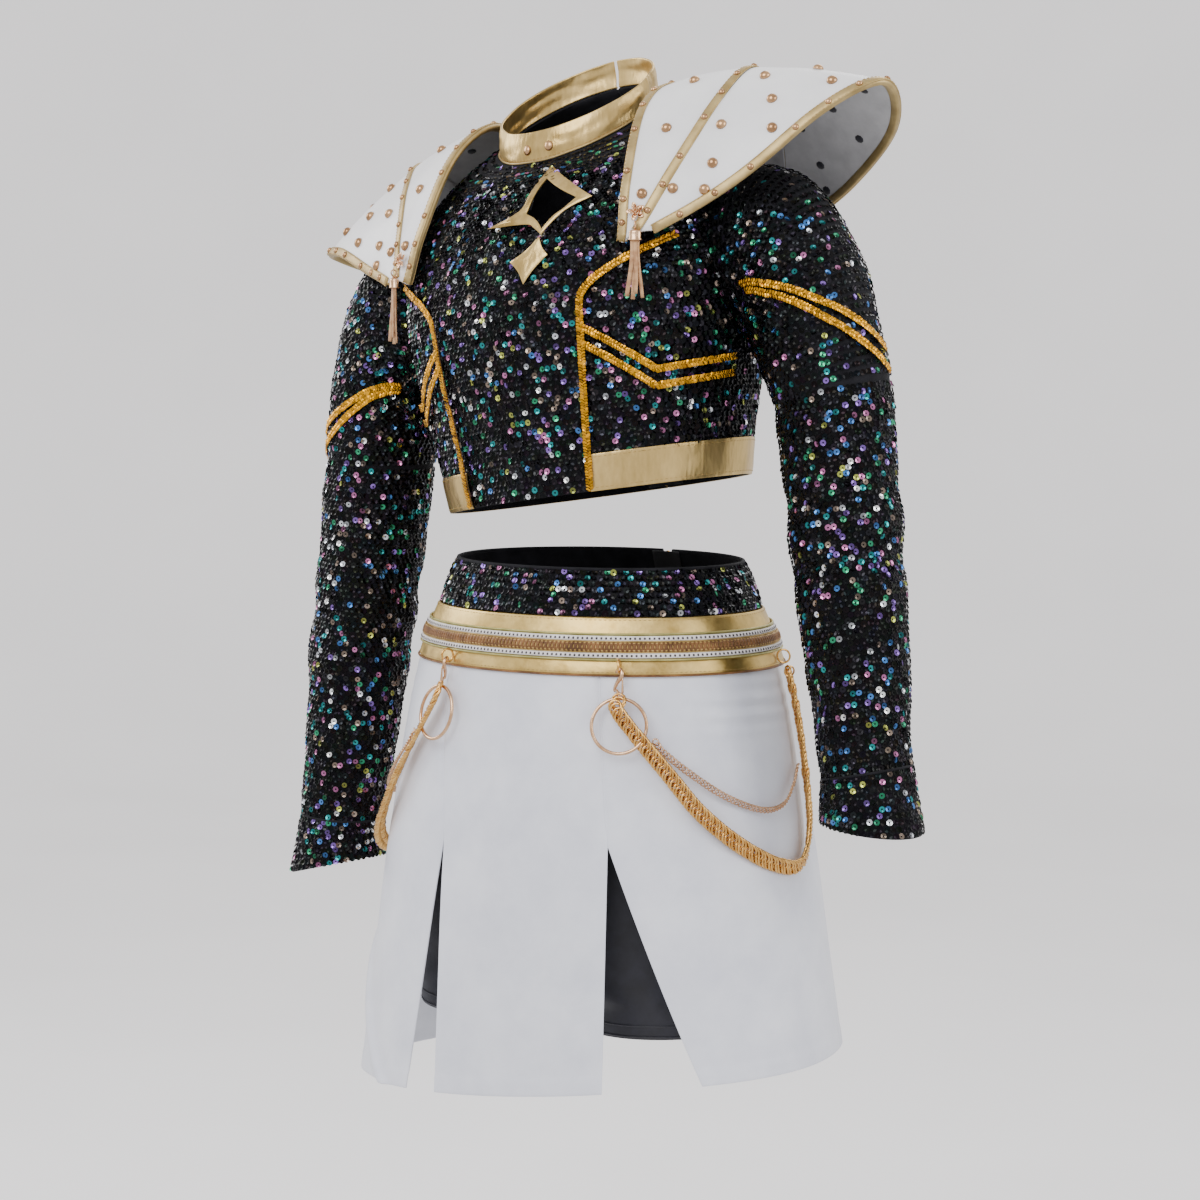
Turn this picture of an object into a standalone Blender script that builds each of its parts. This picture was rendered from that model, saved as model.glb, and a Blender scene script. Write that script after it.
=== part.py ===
"""Cheer uniform: a long-sleeved cropped top with shoulder pads, and a panelled skirt with sewn-in shorts.

Metres, +Z up. The wearer faces -Y and the wearer's left is +X. The origin is the middle of the waist, at
the height of the skirt's top edge, where the form that wears the uniform holds it.
"""

import math

import bmesh
import bpy
from mathutils import Matrix, Vector

for old in list(bpy.data.objects):
    bpy.data.objects.remove(old)

# Cloth and clearances
CLOTH = 0.0012  # wall of a sewn panel
LEATHER = 0.0016  # wall of a foil leather band
SEAM = 0.0005  # gap between two panels of one shell
LAID = 0.0006  # gap under a piece that is sewn on top of another

# Top: (height, half width, half depth in front, half depth behind, rise of the row towards the back)
TOP_HEM = 0.050
TOP_ROWS = (
    (TOP_HEM, 0.1255, 0.1005, 0.0960, 0.0),
    (0.100, 0.1340, 0.1080, 0.0975, 0.0),
    (0.150, 0.1460, 0.1170, 0.0985, 0.0),
    (0.200, 0.1540, 0.1210, 0.0990, 0.0),
    (0.235, 0.1530, 0.1120, 0.0990, 0.0),
    (0.262, 0.1460, 0.1020, 0.0980, 0.05),
    (0.292, 0.1290, 0.0890, 0.0900, 0.17),
    (0.318, 0.1000, 0.0740, 0.0740, 0.36),
    (0.3355, 0.0640, 0.0570, 0.0570, 0.53),
)
LEAN_UP = 0.155  # how much the left side stands higher, per metre sideways
LEAN_OVER = 0.07  # how far the chest leans to the right, per metre of height
BAND_HEIGHT = 0.028  # gold band along the top's hem
COLLAR_HEIGHT = 0.022
COLLAR_GAP = 0.0014  # half of the collar's opening behind
PRINCESS_ANGLE = math.radians(26)  # princess seam, measured round from the centre front
PRINCESS_TURN = 0.190  # height where the seam turns out to the armhole
PRINCESS_TOP = 0.250
BRAID_WIDTH = 0.0085
BRAID_THICK = 0.0022
CHEVRON_STARTS = (0.172, 0.160)  # heights of the two chevrons on the princess seam
CHEVRON_DROP = 0.038
TOP_NECK = TOP_ROWS[-1][0]
SIDE_TOP = PRINCESS_TOP - 0.004
BAND_TOP = TOP_HEM + BAND_HEIGHT
COLLAR_START = TOP_NECK + SEAM
SEAM_RADIUS = 0.08  # least radius that a seam's gap is worked out on
SIDE_SEAM = math.radians(90)
BACK = math.radians(180) - 0.004

# Armhole and sleeve
ARMHOLE_X = 0.150
ARMHOLE_Z = 0.135
ARMHOLE_TILT = 0.086
CUFF_TOP = -0.1815
CUFF_LENGTH = 0.053
SLEEVE_HEAD = (  # (inner x, inner z, outer x, outer z, half depth)
    (0.1495, 0.147, 0.1378, 0.283, 0.046),
    (0.1535, 0.143, 0.1950, 0.262, 0.050),
    (0.1570, 0.136, 0.2280, 0.215, 0.050),
    (0.1630, 0.122, 0.2450, 0.165, 0.047),
    (0.1710, 0.095, 0.2560, 0.105, 0.0435),
)
ARM_START_X = 0.2135
ARM_START_Z = 0.100
ARM_RADII = ((0.100, 0.0425), (0.030, 0.041), (-0.060, 0.039), (-0.140, 0.0345), (CUFF_TOP, 0.0325))
SLEEVE_BRAID_ROWS = {  # (degrees from the inner front to the outer side, share of the sleeve's length)
    "left": ((-14, 0.090), (4, 0.152), (32, 0.222), (56, 0.258), (76, 0.280), (104, 0.305)),
    "right": ((-46, 0.100), (-28, 0.160), (-4, 0.227), (24, 0.270), (64, 0.300), (104, 0.320)),
}
SLEEVE_BRAID_STEP = 0.022  # between the two lines, as a share of the sleeve's length
SLEEVE_BRAID_HALF = 0.0050
SLEEVE_BRAID_GAP = 0.0012
ARM_SPREAD = {"left": 0.04, "right": 0.22}  # outward slope of each arm below the armpit

# Keyhole and applique
KEYHOLE_WIDTH = 0.038
KEYHOLE_HEIGHT = 0.040
KEYHOLE_MIDDLE = (0.0325, 0.2675)  # (to the left, up)
# Outlines round the keyhole's middle, as shares of its width and height
KEYHOLE_WINDOW = ((-0.29, 0.53), (0.15, 0.27), (0.60, 0.03), (0.40, -0.14), (0.20, -0.27), (0.04, -0.47),
                  (-0.08, -0.33), (-0.22, -0.22), (-0.40, -0.13), (-0.37, 0.10), (-0.34, 0.32))
KEYHOLE_FRAME = ((-0.40, 0.80), (0.28, 0.40), (0.92, 0.00), (0.50, -0.16), (0.27, -0.34), (0.05, -0.58),
                 (-0.14, -0.43), (-0.36, -0.33), (-1.29, -0.27), (-0.60, -0.06), (-0.50, 0.30))
DIAMOND = ((0.02, -0.61), (0.12, -0.82), (0.26, -0.98), (0.00, -1.22), (-0.20, -1.47), (-0.34, -1.22),
           (-0.56, -1.00), (-0.24, -0.84))
DIAMOND_CORE = (-0.12, -1.02)
FRAME_THICK = 0.0014
FRAME_CUTS = 3  # pieces that a side of an outline is cut into, so that it bends round the chest

# Shoulder pads
PAD_THICK = 0.0045
PAD_TILT = {"left": math.radians(8), "right": math.radians(-6)}
PAD_SPLIT = 0.0030  # gap at the divider, where the outer panel turns
PAD_STEPS = 14
PAD_INNER = (
    (0.100, -0.0985, 0.228), (0.094, -0.0890, 0.268), (0.086, -0.050, 0.325), (0.082, 0.0, 0.350),
    (0.086, 0.046, 0.337), (0.094, 0.092, 0.295), (0.104, 0.106, 0.238),
)
PAD_DIVIDER = (
    (0.112, -0.0965, 0.234), (0.128, -0.074, 0.272), (0.148, -0.036, 0.316), (0.160, 0.0, 0.338),
    (0.150, 0.038, 0.318), (0.132, 0.078, 0.280), (0.116, 0.104, 0.240),
)
PAD_OUTER = (
    (0.123, -0.0920, 0.233), (0.172, -0.062, 0.254), (0.226, -0.030, 0.284), (0.262, 0.005, 0.294),
    (0.242, 0.050, 0.272), (0.184, 0.084, 0.252), (0.128, 0.102, 0.238),
)
ROSE_RADIUS = 0.0075
ROSE_DEPTH = 0.0045
JUMP_RING_RADIUS = 0.0026
JUMP_RING_WIRE = 0.0006
TASSEL_CAP_RADIUS = 0.0042
TASSEL_CAP_LENGTH = 0.008
TASSEL_LENGTH = 0.044
STUD_RADIUS = 0.0042

# Skirt: (height, half width, half depth)
BAND_BOTTOM = -0.0345
BELT_BOTTOM = -0.0765
SKIRT_HEM = -0.393
SKIRT_ROWS = (
    (0.0, 0.1185, 0.0950),
    (BAND_BOTTOM, 0.1330, 0.1065),
    (BELT_BOTTOM, 0.1500, 0.1200),
    (-0.130, 0.1620, 0.1320),
    (-0.180, 0.1700, 0.1400),
    (-0.240, 0.1800, 0.1480),
    (-0.320, 0.1910, 0.1560),
    (SKIRT_HEM, 0.2010, 0.1630),
)
BELT_PROUD = 0.0018  # how far the belt stands out past the waist band
TRIM_HEIGHT = 0.020
TRIM_THICK = 0.0018
TRIM_GAP = 0.0004
TRIM_MIDDLE = (BAND_BOTTOM + BELT_BOTTOM) / 2
SLIT_TOP = -0.206
FLAP_TOP_ANGLES = (math.radians(-26), math.radians(29))  # front panel at the belt: right edge, left edge
FLAP_SLIT_ANGLES = (math.radians(-16), math.radians(32))
FLAP_HEM_ANGLES = (math.radians(-12), math.radians(30))
SIDE_HEM_ANGLES = (math.radians(-22), math.radians(53))  # front edges of the side panels at the hem
SIDE_BACK_ANGLE = math.radians(112)
PANEL_GAP = 0.005  # angle between two panels at a front seam
SEAM_TURN = 0.004  # half angle between two panels at a side or back seam
SKIRT_TOP = BELT_BOTTOM - SEAM
YOKE_BOTTOM = SLIT_TOP + LAID / 2
FLAP_TOP = SLIT_TOP - LAID / 2
HEM_SLOPE = 0.10  # the hem rises to the left by this much per metre
SHORTS_TOP = -0.086
SHORTS_WALL = 0.0015
CROTCH = -0.3135
LEG_END = -0.352
LEG_CENTRE = 0.0765
# (height, half width, half depth)
HIP_ROWS = (
    (SHORTS_TOP, 0.138, 0.108),
    (-0.150, 0.149, 0.117),
    (-0.240, 0.151, 0.120),
    (CROTCH, 0.149, 0.116),
)
LEG_ROWS = ((-0.250, 0.0710, 0.098), (CROTCH, 0.0715, 0.096), (LEG_END, 0.0712, 0.092))

# Belt hardware
LOOP_RADIUS = 0.0050
LOOP_WIRE = 0.0008
LOOP_HEIGHT = -0.069
LOOP_ANGLES = {"left": (math.radians(35), math.radians(102)), "right": (math.radians(-23), math.radians(-102))}
CLASP_LENGTH = 0.026
CLASP_WIDTH = 0.0105
CLASP_WIRE = 0.0012
CLASP_OUT = 0.0003  # how far the clasp rides out in its loop
RING_RADIUS = 0.0205
RING_WIRE = 0.0009
LINK_GAP = 0.0016  # play where one wire hangs in another
CHAIN_RADIUS = 0.0050
THIN_CHAIN_RADIUS = 0.0016
CHAIN_SAG = {"left": 0.125, "right": 0.140}
CHAIN_STAND_OFF = 0.0085
THIN_STAND_OFF = 0.0064
# (share of the way from the front loop to the rear, share of the sag)
CHAIN_SHAPE = (
    (0.125, 0.46),
    (0.20, 0.64),
    (0.32, 0.86),
    (0.48, 1.06),
    (0.66, 1.20),
    (0.82, 1.22),
    (0.94, 1.02),
    (0.985, 0.66),
    (1.0, 0.34),
    (1.0, 0.115),
)
THIN_SHAPE = ((0.17, 0.40), (0.30, 0.60), (0.45, 0.78), (0.62, 0.87), (0.76, 0.86), (0.86, 0.76), (0.91, 0.66))
UP = Vector((0, 0, 1))

# Zips
ZIP_TAPE_WIDTH = 0.026
ZIP_TOP = 0.262
SKIRT_ZIP_BOTTOM = -0.150
SLIDER_SIZE = (0.0085, 0.0040, 0.0120)
SLIDER_GAP = 0.0022
SLIDER_CLEAR = 0.0018  # the skirt's slider runs on a straight line over the bulge of the back
SLIDER_SLOPE = math.radians(15.6)
ZIP_OPENING = 0.040  # half angle of the waist band's and belt's opening, which the slider runs in
OPEN_BACK = math.pi - ZIP_OPENING
TAB_LENGTH = 0.018
TAB_INSET = 0.0007
SLIDER_DROP = 0.012  # from the tape's top to the slider's middle, when closed
TAPE_THICK = 0.001
TAPE_INSIDE = LEATHER + 0.0012  # how far inside the shell a tape lies
TAPE_ANGLE = ZIP_TAPE_WIDTH / 2 / 0.097
SKIRT_TAPE_ANGLE = ZIP_TAPE_WIDTH / 2 / 0.12
TAPE_END = 0.002  # from the garment's edge to the tape's end


def finish(name, colour, roughness, metallic=0.0):
    """A plain Principled material."""
    material = bpy.data.materials.new(name)
    material.use_nodes = True
    shader = material.node_tree.nodes["Principled BSDF"]
    shader.inputs["Base Color"].default_value = (*colour, 1.0)
    shader.inputs["Roughness"].default_value = roughness
    shader.inputs["Metallic"].default_value = metallic
    return material


SEQUIN = ("black_sequin", (0.012, 0.013, 0.016), 0.28, 0.2)
FOIL = ("gold_foil_leather", (0.58, 0.43, 0.21), 0.32, 0.85)
BRAID = ("gold_sequin_braid", (0.72, 0.40, 0.04), 0.30, 0.8)
WHITE = ("white_leather", (0.82, 0.82, 0.83), 0.45, 0.0)
SATIN = ("white_satin", (0.72, 0.74, 0.82), 0.35, 0.0)
SPANDEX = ("black_spandex", (0.010, 0.010, 0.014), 0.55, 0.0)
BRASS = ("gold_chain", (0.70, 0.43, 0.14), 0.25, 1.0)
ROSE_GOLD = ("rose_gold", (0.66, 0.42, 0.28), 0.28, 1.0)
SUEDE = ("rose_gold_suede", (0.50, 0.28, 0.15), 0.60, 0.2)
TAPE = ("zip_tape", (0.03, 0.03, 0.035), 0.80, 0.0)


def lean(point):
    """The stance of the form: the chest tips up at the left and over to the right."""
    x, y, z = point
    return Vector((x - LEAN_OVER * (z - TOP_HEM), y, z + LEAN_UP * x))


def keep(point):
    return Vector(point)


def mix(a, b, t):
    return a + (b - a) * t


def row_at(rows, height):
    """The values of the table `rows` at a height, on a smooth curve through its rows."""
    rows = sorted(rows)
    height = min(max(height, rows[0][0]), rows[-1][0])
    i = max(k for k in range(len(rows) - 1) if rows[k][0] <= height)
    before = rows[max(i - 1, 0)]
    first, second = rows[i], rows[i + 1]
    after = rows[min(i + 2, len(rows) - 1)]
    span = second[0] - first[0]
    t = (height - first[0]) / span
    values = []
    for b, f, s, a in zip(before[1:], first[1:], second[1:], after[1:]):
        rise = (s - b) / (second[0] - before[0]) * span
        leave = (a - f) / (after[0] - first[0]) * span
        values.append(
            (2 * t**3 - 3 * t**2 + 1) * f + (t**3 - 2 * t**2 + t) * rise
            + (3 * t**2 - 2 * t**3) * s + (t**3 - t**2) * leave
        )
    return values


def top_point(angle, height, out=0.0):
    """A point of the top's shell, before the lean. The angle runs from the centre front to the left."""
    half_width, front, back, rise = row_at(TOP_ROWS, height)
    depth = mix(front, back, (1 - math.cos(angle)) / 2)
    x = (half_width + out) * math.sin(angle)
    y = -(depth + out) * math.cos(angle)
    return Vector((x, y, height + rise * y))


def skirt_point(angle, height, out=0.0):
    half_width, depth = row_at(SKIRT_ROWS, height)
    return Vector(((half_width + out) * math.sin(angle), -(depth + out) * math.cos(angle), height))


def hem_height(point, share):
    """Lowers a skirt point along the hem's slope, by `share` of it."""
    return point + Vector((0, 0, HEM_SLOPE * point.x * share))


def armhole_x(height):
    return ARMHOLE_X - ARMHOLE_TILT * (height - ARMHOLE_Z)


def finish_object(obj, name, look, smooth=True):
    obj.name = name
    obj.data.materials.clear()
    obj.data.materials.append(finish(name, *look[1:]))
    if smooth and obj.type == "MESH":
        obj.data.shade_smooth()
    return obj


def mesh_object(name, bm, look, origin=(0, 0, 0)):
    """Links a bmesh as an object whose origin is `origin`."""
    bm.transform(Matrix.Translation(-Vector(origin)))
    mesh = bpy.data.meshes.new(name)
    bm.to_mesh(mesh)
    bm.free()
    obj = bpy.data.objects.new(name, mesh)
    obj.location = origin
    bpy.context.scene.collection.objects.link(obj)
    return finish_object(obj, name, look)


def sheet(name, look, point, steps, wall, pose=keep, closed=False, cuts=(), side=-1.0, flip=False,
          origin=(0, 0, 0)):
    """A cloth panel: a grid bent to point(u, v), with u round to the left and v up, and given a wall."""
    bm = bmesh.new()
    bmesh.ops.create_grid(bm, x_segments=steps[0], y_segments=steps[1], size=0.5)
    for vert in bm.verts:
        vert.co = point(vert.co.x + 0.5, vert.co.y + 0.5)
    if closed:
        bmesh.ops.remove_doubles(bm, verts=bm.verts, dist=1e-6)
    for plane_point, plane_normal in cuts:
        bmesh.ops.bisect_plane(
            bm, geom=bm.verts[:] + bm.edges[:] + bm.faces[:], dist=1e-6, plane_co=plane_point,
            plane_no=plane_normal, clear_outer=True, clear_inner=False,
        )
    for vert in bm.verts:
        vert.co = pose(vert.co)
    if flip:
        bmesh.ops.reverse_faces(bm, faces=bm.faces[:])
    obj = mesh_object(name, bm, look, origin)
    solid = obj.modifiers.new("wall", "SOLIDIFY")
    solid.thickness = wall
    solid.offset = side
    return obj


def wire(name, look, points, radius, cyclic=False, resolution=2, origin=(0, 0, 0)):
    """A round wire or tube along points."""
    curve = bpy.data.curves.new(name, "CURVE")
    curve.dimensions = "3D"
    curve.bevel_depth = radius
    curve.bevel_resolution = resolution
    curve.use_fill_caps = True
    spline = curve.splines.new("POLY")
    spline.points.add(len(points) - 1)
    for place, point in zip(spline.points, points):
        place.co = (*(Vector(point) - Vector(origin)), 1.0)
    spline.use_cyclic_u = cyclic
    obj = bpy.data.objects.new(name, curve)
    obj.location = origin
    bpy.context.scene.collection.objects.link(obj)
    return finish_object(obj, name, look)


def smooth_path(points, steps):
    """Evenly many points on a smooth curve through hand-set points."""
    rows = [(float(i), *point) for i, point in enumerate(points)]
    last = len(points) - 1
    return [Vector(row_at(rows, last * k / steps)) for k in range(steps + 1)]


def cutter(obj):
    obj.hide_render = True
    obj.display_type = "WIRE"
    return obj


def boolean(obj, other, operation):
    modifier = obj.modifiers.new(operation.lower(), "BOOLEAN")
    modifier.operation = operation
    modifier.object = other


def prism(name, look, outline, place, depth, origin=(0, 0, 0)):
    """An outline of (x, y) points, put in space by place(x, y) and extruded along the vector depth."""
    bm = bmesh.new()
    face = bm.faces.new([bm.verts.new(place(*corner)) for corner in outline])
    moved = bmesh.ops.extrude_face_region(bm, geom=[face])["geom"]
    bmesh.ops.translate(bm, verts=[v for v in moved if isinstance(v, bmesh.types.BMVert)], vec=depth)
    bmesh.ops.recalc_face_normals(bm, faces=bm.faces[:])
    return mesh_object(name, bm, look, origin)


# Bodice panels


def princess(height):
    """The angle of the princess seam at a height."""
    t = (height - PRINCESS_TURN) / (PRINCESS_TOP - PRINCESS_TURN)
    turn = math.radians(90) - PRINCESS_ANGLE
    return PRINCESS_ANGLE + turn * min(max(t, 0.0), 1.0) ** 2


LEVELS = sorted(
    [TOP_HEM + BAND_HEIGHT, 0.110, 0.135, 0.160, 0.180, 0.195, 0.208, 0.219, 0.229, 0.238, SIDE_TOP]
    + [0.262, 0.278, 0.294, 0.308, 0.320, 0.330]
)
LEFT_ARMHOLE = (Vector((ARMHOLE_X, 0, ARMHOLE_Z)), Vector((1, 0, ARMHOLE_TILT)))
RIGHT_ARMHOLE = (Vector((-ARMHOLE_X, 0, ARMHOLE_Z)), Vector((-1, 0, ARMHOLE_TILT)))


def panel(name, look, first, last, low, high, around, wall=CLOTH):
    """A bodice panel between the angles first(z) and last(z), kept half a seam back at its edges."""
    inner = [level for level in LEVELS if low + 0.002 < level < high - 0.002]
    heights = [low + SEAM / 2, *inner, high - SEAM / 2]
    rows = len(heights) - 1

    def point(u, v):
        height = heights[round(v * rows)]
        half_seam = SEAM / 2 / SEAM_RADIUS
        return top_point(mix(first(height) + half_seam, last(height) - half_seam, u), height)

    return sheet(name, look, point, (around, rows), wall, lean, cuts=(LEFT_ARMHOLE, RIGHT_ARMHOLE))


def at(angle):
    return lambda height: angle


front = panel("front_panel", SEQUIN, lambda z: -princess(z), princess, TOP_HEM, TOP_NECK, 12)
for side, sign in (("left", 1), ("right", -1)):
    edges = (princess, at(SIDE_SEAM)) if sign > 0 else (at(-SIDE_SEAM), lambda z: -princess(z))
    panel(f"side_front_{side}", SEQUIN, *edges, BAND_TOP, SIDE_TOP, 5)
    back_edges = (at(SIDE_SEAM), at(BACK)) if sign > 0 else (at(-BACK), at(-SIDE_SEAM))
    panel(f"back_{side}", SEQUIN, *back_edges, BAND_TOP, TOP_NECK, 6)
    band_edges = (at(PRINCESS_ANGLE), at(BACK)) if sign > 0 else (at(-BACK), at(-PRINCESS_ANGLE))
    panel(f"hem_band_{side}", FOIL, *band_edges, TOP_HEM, BAND_TOP, 12, wall=LEATHER)

# Collar: a band on the neckline's slope, open at the centre back


def collar_point(u, v):
    half_width, depth, _, rise = TOP_ROWS[-1][1:]
    shrink = 0.0015 * v
    opening = COLLAR_GAP / depth
    angle = mix(opening - math.pi, math.pi - opening, u)
    y = -(depth - shrink) * math.cos(angle)
    return Vector(((half_width - shrink) * math.sin(angle), y, COLLAR_START + COLLAR_HEIGHT * v + rise * y))


sheet("collar", FOIL, collar_point, (28, 1), LEATHER, lean)


def dome(name, look, centre, normal, radius, depth):
    """A domed stud with a flat back that faces against `normal`."""
    bm = bmesh.new()
    bmesh.ops.create_uvsphere(bm, u_segments=10, v_segments=6, radius=radius)
    bmesh.ops.bisect_plane(
        bm, geom=bm.verts[:] + bm.edges[:] + bm.faces[:], plane_co=(0, 0, 0), plane_no=(0, 0, -1),
        clear_outer=True,
    )
    bmesh.ops.holes_fill(bm, edges=[edge for edge in bm.edges if edge.is_boundary])
    bmesh.ops.scale(bm, vec=(1, 1, depth / radius), verts=bm.verts)
    bmesh.ops.recalc_face_normals(bm, faces=bm.faces[:])
    turn = Vector((0, 0, 1)).rotation_difference(Vector(normal)).to_matrix().to_4x4()
    bm.transform(Matrix.Translation(centre) @ turn)
    return mesh_object(name, bm, look)


for name, angle in (("collar_stud_right", -0.16), ("collar_stud_left", 0.16)):
    spot = collar_point(0.5 + angle / (2 * math.pi), 0.42)
    facing = Vector((math.sin(angle), -math.cos(angle), 0.12))
    dome(name, ROSE_GOLD, lean(spot) + facing * LAID, facing, STUD_RADIUS, 0.0024)

# Keyhole window with its frame, and the diamond under it


def chest_shape(shares, cuts=1):
    """Turns shares of the keyhole's size into flat places (x, z) on the chest, with each side cut up."""
    across, up = KEYHOLE_MIDDLE
    outline = []
    for (x, z), (next_x, next_z) in zip(shares, shares[1:] + shares[:1]):
        for k in range(cuts):
            place = (mix(x, next_x, k / cuts), mix(z, next_z, k / cuts))
            outline.append((across + place[0] * KEYHOLE_WIDTH, up + place[1] * KEYHOLE_HEIGHT))
    return outline


def chest_place(out):
    """Puts a flat (x, z) on the chest, at the row whose rise brings it to that height."""

    def place(x, z):
        row = z
        for _ in range(8):
            spot = top_point(math.asin(x / row_at(TOP_ROWS, row)[0]), row, out)
            row += z - spot.z
        return lean(spot)

    return place


window = cutter(prism(
    "keyhole_cutter", SEQUIN, chest_shape(KEYHOLE_WINDOW),
    lambda x, z: lean((x, -0.15, z)), Vector((0, 0.10, 0))))
boolean(front, window, "DIFFERENCE")


def star_sheet(name, look, outer, inner):
    """A flat leather shape laid on the chest, between an outer outline and an inner one."""
    place = chest_place(LAID)
    outlines = list(zip(chest_shape(outer, FRAME_CUTS), chest_shape(inner, FRAME_CUTS)))
    bm = bmesh.new()
    rings = []
    for share in (0.0, 0.5, 1.0):
        rings.append([bm.verts.new(place(mix(a[0], b[0], share), mix(a[1], b[1], share))) for a, b in outlines])
    for first, second in zip(rings, rings[1:]):
        for k in range(len(first)):
            after = (k + 1) % len(first)
            bm.faces.new((first[k], second[k], second[after], first[after]))
    bmesh.ops.remove_doubles(bm, verts=bm.verts, dist=1e-6)
    bmesh.ops.recalc_face_normals(bm, faces=bm.faces[:])
    if sum(face.normal.y for face in bm.faces) > 0:
        bmesh.ops.reverse_faces(bm, faces=bm.faces[:])
    obj = mesh_object(name, bm, look)
    solid = obj.modifiers.new("wall", "SOLIDIFY")
    solid.thickness = FRAME_THICK
    solid.offset = 1.0


star_sheet("keyhole_frame", FOIL, KEYHOLE_FRAME, KEYHOLE_WINDOW)
star_sheet("diamond_applique", FOIL, DIAMOND, (DIAMOND_CORE,) * len(DIAMOND))

# Gold sequin braid along the princess seams, with two chevrons branching off to the side


def strip_on_top(name, look, route, steps, out=LAID, width=BRAID_WIDTH, thick=BRAID_THICK):
    """A strip sewn on the shell along route(t) = (angle, height), with its width square to the route."""

    def point(u, v):
        (low_angle, low), (high_angle, high) = route(max(u - 0.01, 0.0)), route(min(u + 0.01, 1.0))
        angle, height = route(u)
        radius = Vector(top_point(angle, height).xy).length
        along = Vector(((high_angle - low_angle) * radius, high - low)).normalized()
        shift = width * (v - 0.5)
        return top_point(angle - along.y * shift / radius, height + along.x * shift, out)

    return sheet(name, look, point, (steps, 2), thick, lean, side=1.0)


def princess_route(sign, low=TOP_HEM + 0.002, high=PRINCESS_TOP - 0.020):
    def route(u):
        height = mix(low, high, u)
        return sign * princess(height), height

    return route


def chevron_route(sign, start):
    """Down to the middle of the side front, then level to the armhole."""

    def route(u):
        first = princess(start)
        bend = first + math.radians(23)
        end = math.radians(80)
        if u < 0.5:
            share = u / 0.5
            return sign * mix(first, bend, share), start - CHEVRON_DROP * share
        share = (u - 0.5) / 0.5
        return sign * mix(bend, end, share), start - CHEVRON_DROP + 0.004 * share

    return route


for side, sign in (("left", 1), ("right", -1)):
    braid = strip_on_top(f"princess_braid_{side}", BRAID, princess_route(sign), 18)
    for level, start in zip(("upper", "lower"), CHEVRON_STARTS):
        branch = strip_on_top(f"chevron_{level}_{side}", BRAID, chevron_route(sign, start), 8,
                              out=LAID + 0.0003, width=0.006)
        boolean(braid, cutter(branch), "UNION")


# Sleeves: rings between an inner and an outer point, turning from the armhole's plane to level


def sleeve_ring(side, level):
    """(centre, half vector towards the outer side, half depth) at level 0, the armhole, to 1, the cuff."""
    head = len(SLEEVE_HEAD) - 1
    steps = head + 8
    place = level * steps
    if place <= head:
        rows = [(float(i), *row) for i, row in enumerate(SLEEVE_HEAD)]
        inner_x, inner_z, outer_x, outer_z, half_depth = row_at(rows, place)
        inner, outer = Vector((inner_x, 0, inner_z)), Vector((outer_x, 0, outer_z))
        centre = (inner + outer) / 2
        half = (outer - inner) / 2
    else:
        height = mix(ARM_START_Z, CUFF_TOP, (place - head) / (steps - head))
        radius = row_at(ARM_RADII, height)[0]
        half_depth = radius
        slope = ARM_SPREAD[side]
        centre = Vector((ARM_START_X + slope * (ARM_START_Z - height), 0.0, height))
        half = Vector((radius, 0, slope * radius))
    centre.x += 0.0008
    return centre, half, half_depth


def sleeve_point(side):
    sign = 1 if side == "left" else -1

    def point(u, v):
        centre, half, half_depth = sleeve_ring(side, 1 - v)
        angle = 2 * math.pi * u
        spot = centre + half * math.sin(angle) + Vector((0, -half_depth * math.cos(angle), 0))
        return Vector((spot.x * sign, spot.y, spot.z))

    return point


def cuff_point(side):
    sign = 1 if side == "left" else -1

    def point(u, v):
        centre, half, half_depth = sleeve_ring(side, 1.0)
        angle = 2 * math.pi * u
        outer_side = (1 + math.sin(angle)) / 2
        down = (1 - v) * CUFF_LENGTH * mix(0.55, 1.0, outer_side) + 0.0008
        grow = 1 + 0.12 * (1 - v) + 0.02
        axis = Vector((ARM_SPREAD[side], 0, -1)).normalized()
        spot = centre + (half * math.sin(angle) + Vector((0, -half_depth * math.cos(angle), 0))) * grow
        spot += axis * down
        return Vector((spot.x * sign, spot.y, spot.z))

    return point



for side in ("left", "right"):
    turned = side == "right"
    sheet(f"sleeve_{side}", SEQUIN, sleeve_point(side), (16, 11), CLOTH, lean, closed=True, flip=turned)
    sheet(f"cuff_{side}", SEQUIN, cuff_point(side), (16, 1), LEATHER, lean, closed=True, flip=turned)
    for name, shift in (("upper", 0.0), ("lower", SLEEVE_BRAID_STEP)):

        def braid_point(u, v, side=side, shift=shift):
            """A strip that runs down and out round the front of the upper arm."""
            sign = 1 if side == "left" else -1
            rows = SLEEVE_BRAID_ROWS[side]
            degrees = mix(rows[0][0], rows[-1][0], u)
            angle = math.radians(degrees)
            level = row_at(rows, degrees)[0] + shift + SLEEVE_BRAID_HALF * (1 - 2 * v)
            centre, half, half_depth = sleeve_ring(side, level)
            grow = 1 + SLEEVE_BRAID_GAP / ARM_RADII[0][1]
            spot = centre + (half * math.sin(angle) + Vector((0, -half_depth * math.cos(angle), 0))) * grow
            return Vector((spot.x * sign, spot.y, spot.z))

        sheet(f"sleeve_braid_{name}_{side}", BRAID, braid_point, (12, 1), BRAID_THICK, lean, side=1.0,
              flip=turned)

# Shoulder pads


def pad_curve(points, side):
    """The smooth curve of a pad edge, tilted about the pad's seam at the shoulder and put on its side."""
    sign = 1 if side == "left" else -1
    pivot = Vector(PAD_INNER[3])
    turn = Matrix.Rotation(-PAD_TILT[side], 3, "Y")
    curve = []
    for k, spot in enumerate(smooth_path(points, PAD_STEPS)):
        share = math.sin(math.pi * k / PAD_STEPS)
        turned = pivot + turn @ (spot - pivot)
        tilted = spot.lerp(turned, share)
        curve.append(lean((tilted.x * sign, tilted.y, tilted.z)))
    return curve


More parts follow.
